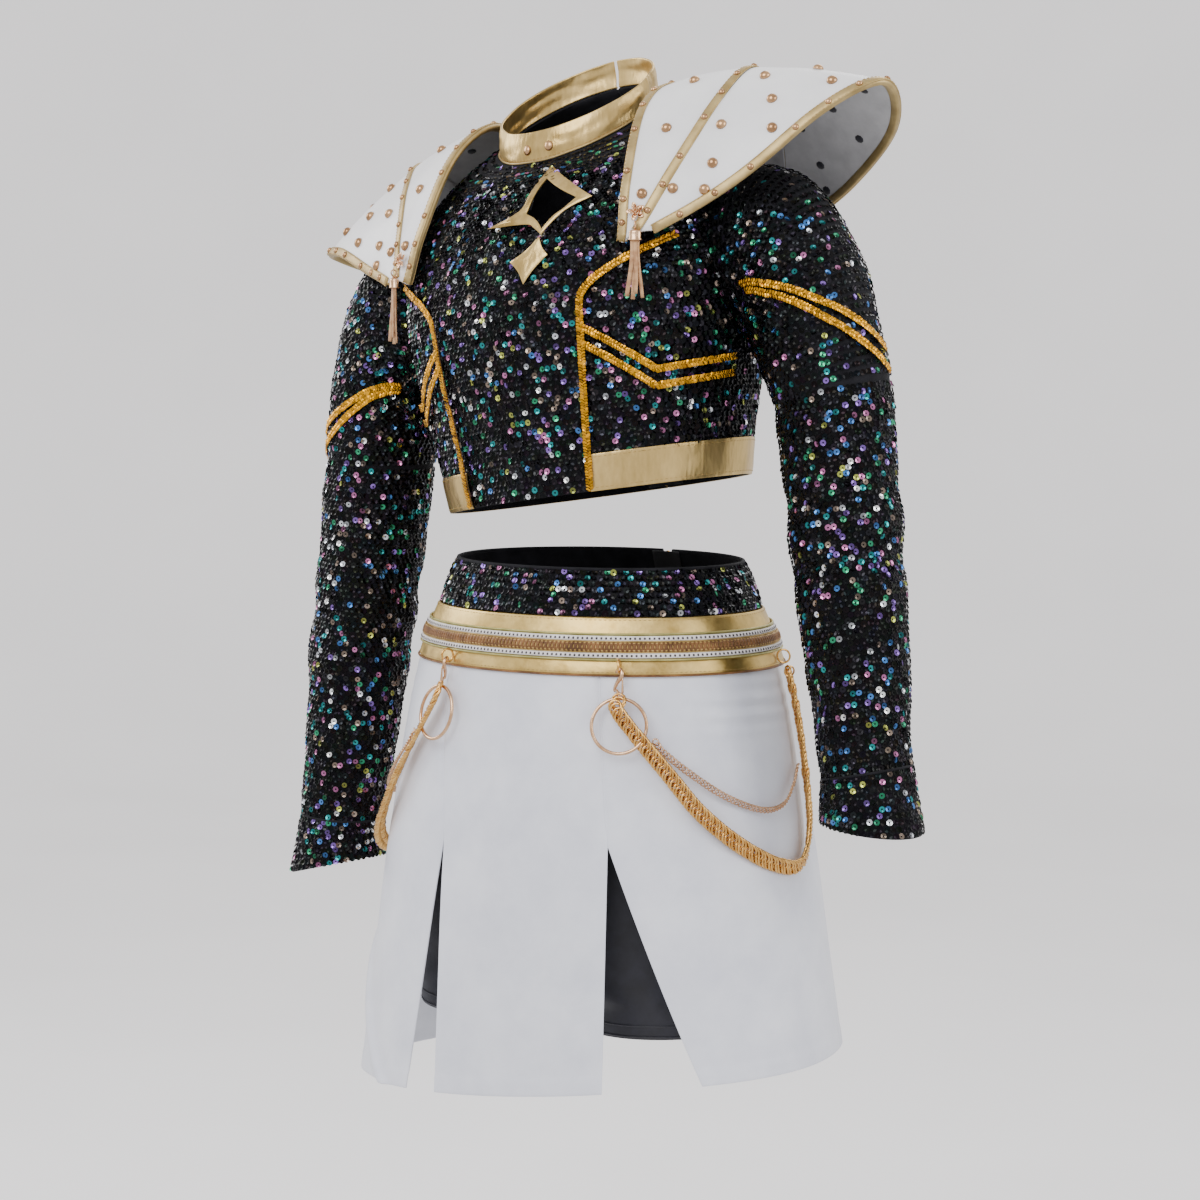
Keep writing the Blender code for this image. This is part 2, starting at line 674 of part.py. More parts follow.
def pad_panel(name, first, last, start, end, bulge, side, origin=(0, 0, 0)):
    """A padded panel between two edge curves, raised in the middle."""

    def point(u, v):
        k = v * PAD_STEPS
        low = min(int(k), PAD_STEPS - 1)
        a = first[low].lerp(first[low + 1], k - low)
        b = last[low].lerp(last[low + 1], k - low)
        across = a.lerp(b, mix(start, end, u))
        lift = bulge * math.sin(math.pi * u) * math.sin(math.pi * v) ** 0.5
        away = Vector((across.x * 0.3, across.y, max(across.z - 0.15, 0.02))).normalized()
        return across + away * lift

    return sheet(name, WHITE, point, (4, PAD_STEPS), PAD_THICK, flip=side == "right", origin=origin)


for side in ("left", "right"):
    inner, divider, outer = (pad_curve(points, side) for points in (PAD_INNER, PAD_DIVIDER, PAD_OUTER))
    gap = PAD_SPLIT / 0.08
    hinge = divider[PAD_STEPS // 2]
    pad_panel(f"epaulette_inner_{side}", inner, divider, 0.0, 1.0 - gap, 0.002, side)
    pad_panel(f"epaulette_outer_{side}", divider, outer, gap, 1.0, 0.002, side, origin=hinge)

    # Rose, jump ring and tassel on the front tip
    sign = 1 if side == "left" else -1
    tip = divider[1].lerp(inner[1], 0.5)
    facing = Vector((sign * 0.42, -0.88, 0.22)).normalized()
    rose_base = tip + facing * 0.0042
    dome(f"rose_{side}", ROSE_GOLD, rose_base, facing, ROSE_RADIUS, ROSE_DEPTH)
    ring_centre = rose_base + facing * 0.0052 - Vector((0, 0, ROSE_RADIUS + JUMP_RING_RADIUS + 0.0012))
    across = facing.cross(Vector((0, 0, 1))).normalized()
    circle = [
        ring_centre + JUMP_RING_RADIUS * (Vector((0, 0, math.sin(t))) + facing * math.cos(t))
        for t in (2 * math.pi * k / 10 for k in range(10))
    ]
    wire(f"jump_ring_{side}", ROSE_GOLD, circle, JUMP_RING_WIRE, cyclic=True, resolution=1)
    cap_top = ring_centre - Vector((0, 0, JUMP_RING_RADIUS + JUMP_RING_WIRE + 0.0004))
    bm = bmesh.new()
    sections = (
        (0.0, 0.0020, 0.0020), (0.0012, TASSEL_CAP_RADIUS, TASSEL_CAP_RADIUS * 0.7),
        (TASSEL_CAP_LENGTH, TASSEL_CAP_RADIUS, TASSEL_CAP_RADIUS * 0.7),
        (TASSEL_CAP_LENGTH + 0.012, 0.0052, 0.0026), (TASSEL_LENGTH + TASSEL_CAP_LENGTH, 0.0062, 0.0028),
    )
    rings = []
    for drop, half, depth in sections:
        ring = bmesh.ops.create_circle(bm, segments=12, radius=1.0)["verts"]
        for vert in ring:
            vert.co = cap_top - Vector((0, 0, drop)) + across * vert.co.x * half + facing * vert.co.y * depth
        rings.append(list(ring))
    for upper, lower in zip(rings, rings[1:]):
        for k in range(12):
            bm.faces.new((upper[k], upper[(k + 1) % 12], lower[(k + 1) % 12], lower[k]))
    bm.faces.new(rings[0])
    bm.faces.new(rings[-1])
    bmesh.ops.recalc_face_normals(bm, faces=bm.faces[:])
    mesh_object(f"tassel_{side}", bm, SUEDE, origin=ring_centre)

# Back zip of the top


def tape_point(u, v):
    height = mix(TOP_HEM + TAPE_END, ZIP_TOP, v)
    return top_point(math.pi + mix(-TAPE_ANGLE, TAPE_ANGLE, u), height, -TAPE_INSIDE)


sheet("top_zip_tape", TAPE, tape_point, (4, 10), TAPE_THICK, lean)


def slider(name, spot, slope=0.0):
    """A zip slider with its pull laid down: a rounded block and a flat tab, one casting."""
    bm = bmesh.new()
    bmesh.ops.create_cube(bm, size=1.0)
    bmesh.ops.scale(bm, vec=SLIDER_SIZE, verts=bm.verts)
    bmesh.ops.bevel(bm, geom=bm.edges[:], offset=0.0008, segments=2, affect="EDGES", profile=0.5, material=-1)
    low = [face for face in bm.faces if face.normal.z < -0.9]
    bmesh.ops.inset_region(bm, faces=low, thickness=TAB_INSET, use_even_offset=True)
    pulled = bmesh.ops.extrude_face_region(bm, geom=low)["geom"]
    bmesh.ops.delete(bm, geom=low, context="FACES")
    tab = [vert for vert in pulled if isinstance(vert, bmesh.types.BMVert)]
    bmesh.ops.translate(bm, verts=tab, vec=(0, 0, -TAB_LENGTH))
    bmesh.ops.recalc_face_normals(bm, faces=bm.faces[:])
    bm.transform(Matrix.Translation(spot) @ Matrix.Rotation(slope, 4, "X"))
    return mesh_object(name, bm, BRASS, origin=spot)


slider("top_zip_slider", lean(top_point(math.pi, ZIP_TOP - SLIDER_DROP, SLIDER_SIZE[1] / 2 + SLIDER_GAP)))

# Skirt: waist band, belt and its trim, all open at the centre back


def skirt_sheet(name, look, first, last, low, high, steps, wall, out=0.0, share=None, side=-1.0,
                origin=(0, 0, 0)):
    def point(u, v):
        height = mix(low, high, v)
        down = (BELT_BOTTOM - height) / (BELT_BOTTOM - SKIRT_HEM)
        angle = mix(first(height), last(height), u)
        return hem_height(skirt_point(angle, height, out), max(down, 0.0))

    return sheet(name, look, point, steps, wall, side=side, origin=origin)


skirt_sheet("waist_band", SEQUIN, at(-OPEN_BACK), at(OPEN_BACK), BAND_BOTTOM + SEAM, 0.0, (28, 1), CLOTH)
skirt_sheet("belt", FOIL, at(-OPEN_BACK), at(OPEN_BACK), BELT_BOTTOM + SEAM, BAND_BOTTOM, (28, 1), LEATHER,
            out=BELT_PROUD)
skirt_sheet("belt_trim", BRAID, at(-OPEN_BACK), at(OPEN_BACK), TRIM_MIDDLE - TRIM_HEIGHT / 2,
            TRIM_MIDDLE + TRIM_HEIGHT / 2, (28, 1), TRIM_THICK, out=BELT_PROUD + TRIM_GAP, side=1.0)

# Skirt panels


def edge_angle(height, top, slit, hem):
    """The angle of a front edge: a straight seam down to the slit's top, then free to the hem."""
    if height > SLIT_TOP:
        return mix(slit, top, (height - SLIT_TOP) / (BELT_BOTTOM - SLIT_TOP))
    return mix(hem, slit, (height - SKIRT_HEM) / (SLIT_TOP - SKIRT_HEM))


def flap_edge(index, sign):
    return lambda z: sign * PANEL_GAP / 2 + edge_angle(
        z, FLAP_TOP_ANGLES[index], FLAP_SLIT_ANGLES[index], FLAP_HEM_ANGLES[index])


def side_edge(index, sign):
    return lambda z: sign * PANEL_GAP / 2 + edge_angle(
        z, FLAP_TOP_ANGLES[index], FLAP_SLIT_ANGLES[index], SIDE_HEM_ANGLES[index])


flap_hinge = skirt_point(0.0, SLIT_TOP, 0.0004)
flap_edges = (flap_edge(0, 1), flap_edge(1, -1))
skirt_sheet("skirt_front_yoke", SATIN, *flap_edges, YOKE_BOTTOM, SKIRT_TOP, (8, 4), CLOTH)
skirt_sheet("skirt_front_flap", SATIN, *flap_edges, SKIRT_HEM, FLAP_TOP, (8, 6), CLOTH, origin=flap_hinge)
skirt_sheet("skirt_side_left", SATIN, side_edge(1, 1), at(SIDE_BACK_ANGLE), SKIRT_HEM, SKIRT_TOP, (8, 9),
            CLOTH)
skirt_sheet("skirt_side_right", SATIN, at(-SIDE_BACK_ANGLE), side_edge(0, -1), SKIRT_HEM, SKIRT_TOP,
            (9, 9), CLOTH)
skirt_sheet("skirt_back_left", SATIN, at(SIDE_BACK_ANGLE + SEAM_TURN), at(math.pi - SEAM_TURN), SKIRT_HEM,
            SKIRT_TOP, (6, 9), CLOTH)
skirt_sheet("skirt_back_right", SATIN, at(SEAM_TURN - math.pi), at(-SIDE_BACK_ANGLE - SEAM_TURN), SKIRT_HEM,
            SKIRT_TOP, (6, 9), CLOTH)


def skirt_tape_point(u, v):
    height = mix(SKIRT_ZIP_BOTTOM, -TAPE_END, v)
    return skirt_point(math.pi + mix(-SKIRT_TAPE_ANGLE, SKIRT_TAPE_ANGLE, u), height, -TAPE_INSIDE)


sheet("skirt_zip_tape", TAPE, skirt_tape_point, (4, 8), TAPE_THICK)
slider_out = SLIDER_SIZE[1] / 2 + SLIDER_GAP + BELT_PROUD + SLIDER_CLEAR
slider("skirt_zip_slider", skirt_point(math.pi, -SLIDER_DROP, slider_out), SLIDER_SLOPE)

# Shorts: hips and two legs joined, then hollowed


def loft(name, look, rows, centre, shrink, top_extra, low_extra):
    """A closed solid of stacked ellipses, one ring per row of (height, half width, half depth)."""
    bm = bmesh.new()
    rings = []
    for k, (height, half_width, depth) in enumerate(rows):
        height += top_extra if k == 0 else 0.0
        height -= low_extra if k == len(rows) - 1 else 0.0
        ring = bmesh.ops.create_circle(bm, segments=20, radius=1.0)["verts"]
        for vert in ring:
            vert.co = Vector((
                centre + vert.co.x * (half_width - shrink), vert.co.y * (depth - shrink), height))
        rings.append(ring)
    for upper, lower in zip(rings, rings[1:]):
        count = len(upper)
        for k in range(count):
            bm.faces.new((upper[k], upper[(k + 1) % count], lower[(k + 1) % count], lower[k]))
    bm.faces.new(rings[0])
    bm.faces.new(rings[-1])
    bmesh.ops.recalc_face_normals(bm, faces=bm.faces[:])
    return mesh_object(name, bm, look)


shorts = loft("shorts", SPANDEX, HIP_ROWS, 0.0, 0.0, 0.0, 0.0)
for name, centre in (("leg_left", LEG_CENTRE), ("leg_right", -LEG_CENTRE)):
    boolean(shorts, cutter(loft(name, SPANDEX, LEG_ROWS, centre, 0.0, 0.0, 0.0)), "UNION")
inside = cutter(loft("hip_inside", SPANDEX, HIP_ROWS, 0.0, SHORTS_WALL, 0.01, -SHORTS_WALL))
boolean(shorts, inside, "DIFFERENCE")
for name, centre in (("leg_left_inside", LEG_CENTRE), ("leg_right_inside", -LEG_CENTRE)):
    boolean(shorts, cutter(loft(name, SPANDEX, LEG_ROWS, centre, SHORTS_WALL, 0.0, 0.01)), "DIFFERENCE")

# Belt loops, clasps, rings and chains

def frame_at(angle, height, out):
    """(point, outward, along) on the skirt's surface, with `along` level and to the left."""
    spot = skirt_point(angle, height, out)
    along = (skirt_point(angle + 0.01, height, out) - skirt_point(angle - 0.01, height, out)).normalized()
    return spot, along.cross(UP), along


def ring_points(centre, first, second, radius, count):
    """Points on a circle in the plane of two square directions."""
    return [
        centre + radius * (first * math.cos(t) + second * math.sin(t))
        for t in (2 * math.pi * k / count for k in range(count))
    ]


for side in ("left", "right"):
    front_angle, rear_angle = LOOP_ANGLES[side]
    for place, angle in (("front", front_angle), ("rear", rear_angle)):
        proud = BELT_PROUD + LOOP_RADIUS + LOOP_WIRE + LAID
        spot, outward, along = frame_at(angle, LOOP_HEIGHT, proud)
        wire(f"belt_loop_{place}_{side}", BRASS, ring_points(spot, outward, UP, LOOP_RADIUS, 10), LOOP_WIRE,
             cyclic=True, resolution=1)
        if place == "front":
            front_loop = spot
        else:
            rear_loop = spot

    # Clasp: a long hook through the loop, closed by a sprung trigger on one side. It hangs down the
    # slope of the skirt.
    _, outward, along = frame_at(front_angle, LOOP_HEIGHT, 0)
    hang = skirt_point(front_angle, LOOP_HEIGHT - 0.06) - skirt_point(front_angle, LOOP_HEIGHT)
    rise = -hang.normalized()
    hook_plane = (along * 0.60 + outward * 0.80).normalized()
    inside_loop = front_loop - UP * (LOOP_RADIUS - LOOP_WIRE - CLASP_WIRE - LINK_GAP) + outward * CLASP_OUT
    half = CLASP_WIDTH / 2
    straight = CLASP_LENGTH - CLASP_WIDTH
    hook_top = inside_loop - rise * half
    hook_bottom = hook_top - rise * straight
    outline = [hook_top + hook_plane * half * math.cos(t) + rise * half * math.sin(t)
               for t in (math.radians(a) for a in range(0, 181, 30))]
    outline += [hook_bottom + hook_plane * half * math.cos(t) + rise * half * math.sin(t)
                for t in (math.radians(a) for a in range(180, 361, 30))]
    outline.append(hook_bottom + hook_plane * half + rise * straight * 0.10)
    wire(f"clasp_{side}", ROSE_GOLD, outline, CLASP_WIRE)
    trigger_low = outline[-1] + rise * (CLASP_WIRE * 0.4)
    trigger_high = hook_top + hook_plane * half - rise * (CLASP_WIRE * 0.4)
    wire(f"trigger_{side}", ROSE_GOLD, [trigger_low, trigger_low.lerp(trigger_high, 0.5), trigger_high],
         CLASP_WIRE * 0.85, origin=trigger_low)

    # O-ring through the clasp's lower bow, facing out
    ring_top = hook_bottom - rise * (half - CLASP_WIRE - RING_WIRE - LINK_GAP)
    ring_centre = ring_top - rise * RING_RADIUS
    wire(f"o_ring_{side}", ROSE_GOLD, ring_points(ring_centre, along, rise, RING_RADIUS, 24), RING_WIRE,
         cyclic=True, resolution=1)

    # Chains from the ring's lower side round the hip to the rear loop
    span = rear_angle - front_angle

    def chain_spot(share, drop, out, front_angle=front_angle, span=span):
        return skirt_point(front_angle + span * share, LOOP_HEIGHT - drop, out)

    sag = CHAIN_SAG[side]
    knots = [chain_spot(share, sag * drop, CHAIN_STAND_OFF) for share, drop in CHAIN_SHAPE]
    wire(f"chain_{side}", BRASS, smooth_path(knots, 30), CHAIN_RADIUS, resolution=1)
    thin_knots = [chain_spot(share, sag * drop, THIN_STAND_OFF) for share, drop in THIN_SHAPE]
    wire(f"thin_chain_{side}", BRASS, smooth_path(thin_knots, 20), THIN_CHAIN_RADIUS, resolution=1)
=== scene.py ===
# %% [markdown]
# # A cheer uniform: sequins, satin, foil leather and chain
#
# The uniform is two garments worn on an invisible form: a cropped top covered in sequins, with studded
# shoulder pads, and a satin skirt with a belt, chains and shorts. The CAD model gives every piece its
# place and size. This script dresses it: each CAD solid is replaced by a finished surface made from the
# same pattern, and the small things that a CAD model leaves out are sewn on.

# %% Load the frame
import math

import bmesh
import bpy
import numpy as np
from mathutils import Matrix, Vector
from mathutils import noise as pattern


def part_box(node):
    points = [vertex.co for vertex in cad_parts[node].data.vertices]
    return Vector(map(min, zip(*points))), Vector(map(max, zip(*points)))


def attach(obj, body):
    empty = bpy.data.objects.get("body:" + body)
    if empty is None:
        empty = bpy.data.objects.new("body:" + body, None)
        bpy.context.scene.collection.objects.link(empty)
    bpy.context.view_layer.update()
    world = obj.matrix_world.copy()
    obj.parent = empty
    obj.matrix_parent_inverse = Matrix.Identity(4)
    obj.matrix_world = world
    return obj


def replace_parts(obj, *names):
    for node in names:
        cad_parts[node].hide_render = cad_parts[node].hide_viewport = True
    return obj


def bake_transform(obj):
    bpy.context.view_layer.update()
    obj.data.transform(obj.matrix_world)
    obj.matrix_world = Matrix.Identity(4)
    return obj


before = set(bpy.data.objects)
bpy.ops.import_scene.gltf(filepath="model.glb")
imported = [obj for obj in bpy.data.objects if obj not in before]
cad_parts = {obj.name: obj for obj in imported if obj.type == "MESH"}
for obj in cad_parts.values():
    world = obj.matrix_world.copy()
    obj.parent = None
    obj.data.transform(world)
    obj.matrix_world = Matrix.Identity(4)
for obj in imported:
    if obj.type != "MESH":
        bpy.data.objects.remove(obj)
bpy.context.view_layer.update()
rng = np.random.default_rng(20)

# %% [markdown]
# ## Camera and light
#
# The uniform is seen from its left front, a little from above, with a long lens that keeps the
# shoulders and the hem in proportion. A camera needs only a place and a turn, so a small function works
# out both from an angle round the object. The light is a plain studio: one large soft light in front, one
# at each side for the edges of the satin, and a pale room that fills the shadows.

# %% Camera, lights, floor
VIEW_TURN, VIEW_DROP, VIEW_DISTANCE, LENS = math.radians(35), math.radians(5.5), 2.6, 100
LOOK_AT = Vector((0, 0, -0.0325))


def around(turn, rise, distance, centre=LOOK_AT):
    """A point at an angle round the object, with turn 0 in front of it."""
    level = distance * math.cos(rise)
    return centre + Vector((level * math.sin(turn), -level * math.cos(turn), distance * math.sin(rise)))


camera = bpy.data.objects.new("camera", bpy.data.cameras.new("camera"))
camera.data.lens = LENS
camera.location = around(VIEW_TURN, VIEW_DROP, VIEW_DISTANCE)
camera.rotation_euler = (LOOK_AT - camera.location).to_track_quat("-Z", "Y").to_euler()
bpy.context.scene.collection.objects.link(camera)
bpy.context.scene.camera = camera


def soft_light(name, turn, rise, distance, size, power):
    """A square area light that points at the uniform."""
    light = bpy.data.objects.new(name, bpy.data.lights.new(name, "AREA"))
    light.data.shape = "SQUARE"
    light.data.size = size
    light.data.energy = power
    light.location = around(math.radians(turn), math.radians(rise), distance)
    light.rotation_euler = (LOOK_AT - light.location).to_track_quat("-Z", "Y").to_euler()
    bpy.context.scene.collection.objects.link(light)


soft_light("key", 5, 38, 2.6, 1.6, 42)
soft_light("left_fill", 100, 22, 2.4, 1.4, 24)
soft_light("right_edge", -85, 25, 2.4, 1.2, 22)
soft_light("back_light", 190, 40, 2.6, 1.4, 18)

world = bpy.data.worlds.new("studio")
world.use_nodes = True
world.node_tree.nodes["Background"].inputs["Color"].default_value = (0.90, 0.885, 0.89, 1)
world.node_tree.nodes["Background"].inputs["Strength"].default_value = 1.10
bpy.context.scene.world = world

# %% [markdown]
# ## Shader groups
#
# Several finishes share an effect: a fine grain on leather, creases in foil, a weave on cloth. Each effect
# is one node group with its own inputs, so a material only sets how big and how strong it is. The groups
# give out plain numbers, and the Principled shader stays in each material.

# %% Group helpers
FLOAT = "NodeSocketFloat"


def new_group(name, inputs, outputs):
    """An empty shader group with number sockets; returns (group, inputs node, outputs node)."""
    group = bpy.data.node_groups.new(name, "ShaderNodeTree")
    for label, value in inputs.items():
        group.interface.new_socket(label, in_out="INPUT", socket_type=FLOAT).default_value = value
    for label in outputs:
        group.interface.new_socket(label, in_out="OUTPUT", socket_type=FLOAT)
    return group, group.nodes.new("NodeGroupInput"), group.nodes.new("NodeGroupOutput")


def add(tree, kind, **settings):
    """Adds a node and sets its properties."""
    node = tree.nodes.new(kind)
    for label, value in settings.items():
        setattr(node, label, value)
    return node


def maths(tree, operation, first, second=None, third=None):
    """A Math node fed by sockets or numbers; returns its output."""
    node = add(tree, "ShaderNodeMath", operation=operation)
    for socket, value in zip(node.inputs, (first, second, third)):
        if value is None:
            continue
        if hasattr(value, "is_output"):
            tree.links.new(value, socket)
        else:
            socket.default_value = value
    return node.outputs[0]


def noise(tree, where, scale, detail=3.0, rough=0.55):
    node = add(tree, "ShaderNodeTexNoise")
    tree.links.new(where, node.inputs["Vector"])
    for label, value in (("Scale", scale), ("Detail", detail), ("Roughness", rough)):
        if hasattr(value, "is_output"):
            tree.links.new(value, node.inputs[label])
        else:
            node.inputs[label].default_value = value
    return node.outputs["Fac"]


# %% Grain, creases and weave
grain_group, grain_in, grain_out = new_group("grain", {"Scale": 900.0, "Patches": 30.0}, ("Height", "Tone"))
where = add(grain_group, "ShaderNodeTexCoord").outputs["Object"]
cells = add(grain_group, "ShaderNodeTexVoronoi", feature="F1")
grain_group.links.new(where, cells.inputs["Vector"])
grain_group.links.new(grain_in.outputs["Scale"], cells.inputs["Scale"])
patchy = noise(grain_group, where, grain_in.outputs["Patches"], 4.0)
pores = maths(grain_group, "MULTIPLY", cells.outputs["Distance"], 0.8)
grain_group.links.new(maths(grain_group, "ADD", pores, maths(grain_group, "MULTIPLY", patchy, 0.6)),
                      grain_out.inputs["Height"])
grain_group.links.new(patchy, grain_out.inputs["Tone"])

crease_group, crease_in, crease_out = new_group("creases", {"Scale": 55.0, "Stretch": 0.35},
                                                ("Height", "Tone"))
where = add(crease_group, "ShaderNodeTexCoord").outputs["Object"]
squeeze = add(crease_group, "ShaderNodeCombineXYZ")
for label in ("X", "Y"):
    squeeze.inputs[label].default_value = 1.0
crease_group.links.new(crease_in.outputs["Stretch"], squeeze.inputs["Z"])
stretched = add(crease_group, "ShaderNodeVectorMath", operation="MULTIPLY")
crease_group.links.new(where, stretched.inputs[0])
crease_group.links.new(squeeze.outputs[0], stretched.inputs[1])
ridge = noise(crease_group, stretched.outputs[0], crease_in.outputs["Scale"], 3.0, 0.6)
fold = maths(crease_group, "ABSOLUTE", maths(crease_group, "SUBTRACT", ridge, 0.5))
fine = noise(crease_group, where, 420.0, 2.0)
height = maths(crease_group, "ADD", maths(crease_group, "MULTIPLY", fold, -4.0),
               maths(crease_group, "MULTIPLY", fine, 0.25))
crease_group.links.new(height, crease_out.inputs["Height"])
crease_group.links.new(noise(crease_group, stretched.outputs[0], 24.0, 5.0, 0.7), crease_out.inputs["Tone"])

weave_group, weave_in, weave_out = new_group("weave", {"Threads": 1500.0, "Slub": 60.0}, ("Height", "Tone"))
where = add(weave_group, "ShaderNodeTexCoord").outputs["Object"]
waves = []
for direction in ("X", "Z"):
    wave = add(weave_group, "ShaderNodeTexWave", wave_type="BANDS", bands_direction=direction)
    weave_group.links.new(where, wave.inputs["Vector"])
    weave_group.links.new(weave_in.outputs["Threads"], wave.inputs["Scale"])
    wave.inputs["Distortion"].default_value = 0.6
    waves.append(wave.outputs["Fac"])
slub = noise(weave_group, where, weave_in.outputs["Slub"], 5.0, 0.6)
threads = maths(weave_group, "MAXIMUM", waves[0], waves[1])
weave_group.links.new(maths(weave_group, "ADD", maths(weave_group, "MULTIPLY", threads, 0.5), slub),
                      weave_out.inputs["Height"])
weave_group.links.new(slub, weave_out.inputs["Tone"])
print("groups:", ", ".join(group.name for group in (grain_group, crease_group, weave_group)))

# %% [markdown]
# ## Finishes
#
# Each finish is a Principled shader. The base colour moves between two shades where the group's Tone says,
# because no real surface is one flat colour, and the group's Height drives a small bump. Sequins get their
# shade from an attribute on the mesh instead, so that every one can differ from the next.

# %% Material builder


def finish(name, dark, light, roughness, metallic=0.0, effect=None, inputs=None, bump=0.1, depth=0.0005,
           tone=(0.35, 0.65), rough_change=0.0, tint=None, **sockets):
    """A Principled material whose colour runs from dark to light by a group's Tone, with its bump."""
    material = bpy.data.materials.new(name)
    material.use_nodes = True
    tree = material.node_tree
    shader = tree.nodes["Principled BSDF"]
    shader.inputs["Roughness"].default_value = roughness
    shader.inputs["Metallic"].default_value = metallic
    for label, value in sockets.items():
        shader.inputs[label.replace("_", " ")].default_value = value
    group = add(tree, "ShaderNodeGroup", node_tree=effect or grain_group)
    for label, value in (inputs or {}).items():
        group.inputs[label].default_value = value
    ramp = add(tree, "ShaderNodeMapRange")
    ramp.inputs["From Min"].default_value, ramp.inputs["From Max"].default_value = tone
    tree.links.new(group.outputs["Tone"], ramp.inputs["Value"])
    blend = add(tree, "ShaderNodeMix", data_type="RGBA")
    blend.inputs["A"].default_value = (*dark, 1)
    blend.inputs["B"].default_value = (*light, 1)
    tree.links.new(ramp.outputs["Result"], blend.inputs["Factor"])
    colour = blend.outputs["Result"]
    if tint:
        reader = add(tree, "ShaderNodeAttribute", attribute_name=tint)
        join = add(tree, "ShaderNodeMix", data_type="RGBA", blend_type="MULTIPLY")
        join.inputs["Factor"].default_value = 1.0
        tree.links.new(colour, join.inputs["A"])
        tree.links.new(reader.outputs["Color"], join.inputs["B"])
        colour = join.outputs["Result"]
    tree.links.new(colour, shader.inputs["Base Color"])
    if rough_change:
        tree.links.new(maths(tree, "MULTIPLY_ADD", ramp.outputs["Result"], rough_change, roughness),
                       shader.inputs["Roughness"])
    if bump:
        relief = add(tree, "ShaderNodeBump")
        relief.inputs["Strength"].default_value = bump
        relief.inputs["Distance"].default_value = depth
        tree.links.new(group.outputs["Height"], relief.inputs["Height"])
        tree.links.new(relief.outputs["Normal"], shader.inputs["Normal"])
    return material


# %% The finishes
sequin_film = finish("sequin_film", (0.75, 0.75, 0.75), (1, 1, 1), 0.20, 0.92, bump=0.05, tint="tint",
                     Coat_Weight=0.06, Coat_Roughness=0.08)
gold_sequin = finish("gold_sequin", (0.8, 0.8, 0.8), (1, 1, 1), 0.24, 0.95, bump=0.05, tint="tint",
                     Coat_Weight=0.05, Coat_Roughness=0.1)
knit = finish("black_knit", (0.006, 0.006, 0.008), (0.014, 0.014, 0.018), 0.75, effect=weave_group,
              inputs={"Threads": 900.0}, bump=0.3, Sheen_Weight=0.04, Specular_IOR_Level=0.12)
foil = finish("gold_foil_leather", (0.42, 0.28, 0.09), (0.80, 0.58, 0.24), 0.25, 0.88, effect=crease_group,
              bump=0.30, depth=0.0012, rough_change=0.16)
belt_foil = finish("belt_foil", (0.46, 0.30, 0.08), (0.82, 0.60, 0.22), 0.28, 0.88, effect=crease_group,
                   inputs={"Scale": 30.0, "Stretch": 1.0}, bump=0.2, depth=0.001, rough_change=0.15)
pad_leather = finish("white_leather", (0.80, 0.80, 0.82), (0.90, 0.90, 0.91), 0.42,
                     inputs={"Scale": 1400.0, "Patches": 18.0}, bump=0.16, depth=0.0003, Coat_Weight=0.08)
pad_back = finish("grey_backing", (0.44, 0.44, 0.455), (0.54, 0.54, 0.555), 0.8, effect=weave_group,
                  inputs={"Threads": 1200.0}, bump=0.25, depth=0.0003, Sheen_Weight=0.2)
binding_gold = finish("matte_gold_binding", (0.36, 0.255, 0.10), (0.52, 0.385, 0.17), 0.42, 0.60,
                      inputs={"Scale": 1600.0, "Patches": 60.0}, bump=0.2, depth=0.0003)
satin = finish("white_satin", (0.70, 0.72, 0.82), (0.84, 0.86, 0.94), 0.30, effect=weave_group,
               inputs={"Threads": 2200.0, "Slub": 22.0}, bump=0.06, depth=0.0004, tone=(0.3, 0.7),
               Sheen_Weight=0.25, Specular_IOR_Level=0.55)
lining = finish("black_lining", (0.008, 0.008, 0.012), (0.02, 0.02, 0.028), 0.55, effect=weave_group,
                bump=0.1, Sheen_Weight=0.1)
spandex = finish("black_spandex", (0.007, 0.007, 0.012), (0.016, 0.016, 0.026), 0.5, effect=weave_group,
                 inputs={"Threads": 1800.0}, bump=0.12, depth=0.0003, Sheen_Weight=0.2)
chain_gold = finish("gold_plate", (0.62, 0.33, 0.09), (0.88, 0.54, 0.18), 0.17, 1.0,
                    inputs={"Scale": 700.0, "Patches": 160.0}, bump=0.04, depth=0.0002, rough_change=0.1)
rose_gold = finish("rose_gold_plate", (0.60, 0.36, 0.20), (0.80, 0.52, 0.32), 0.18, 1.0,
                   inputs={"Scale": 700.0, "Patches": 160.0}, bump=0.04, depth=0.0002, rough_change=0.08)
stud_gold = finish("stud_plate", (0.36, 0.20, 0.10), (0.62, 0.38, 0.20), 0.20, 1.0,
                   inputs={"Scale": 700.0, "Patches": 90.0}, bump=0.03, depth=0.0002, rough_change=0.08)
suede = finish("rose_gold_suede", (0.40, 0.20, 0.09), (0.62, 0.37, 0.19), 0.55, 0.25,
               inputs={"Scale": 2200.0, "Patches": 200.0}, bump=0.3, depth=0.0003, Sheen_Weight=0.2)
bead_pearl = finish("pale_bead", (0.66, 0.58, 0.42), (0.86, 0.80, 0.66), 0.22, 0.25, bump=0.03,
                    Coat_Weight=0.6)
braid_brown = finish("brown_braid", (0.10, 0.040, 0.012), (0.30, 0.14, 0.045), 0.45, 0.3, effect=weave_group,
                     inputs={"Threads": 900.0}, bump=0.4, depth=0.0005)
thread_gold = finish("gold_thread", (0.40, 0.26, 0.08), (0.62, 0.42, 0.16), 0.45, 0.6, effect=weave_group,
                     inputs={"Threads": 1500.0}, bump=0.3, depth=0.0003)
tape_black = finish("zip_tape", (0.012, 0.012, 0.014), (0.028, 0.028, 0.032), 0.8, effect=weave_group,
                    inputs={"Threads": 1000.0}, bump=0.3, depth=0.0003)
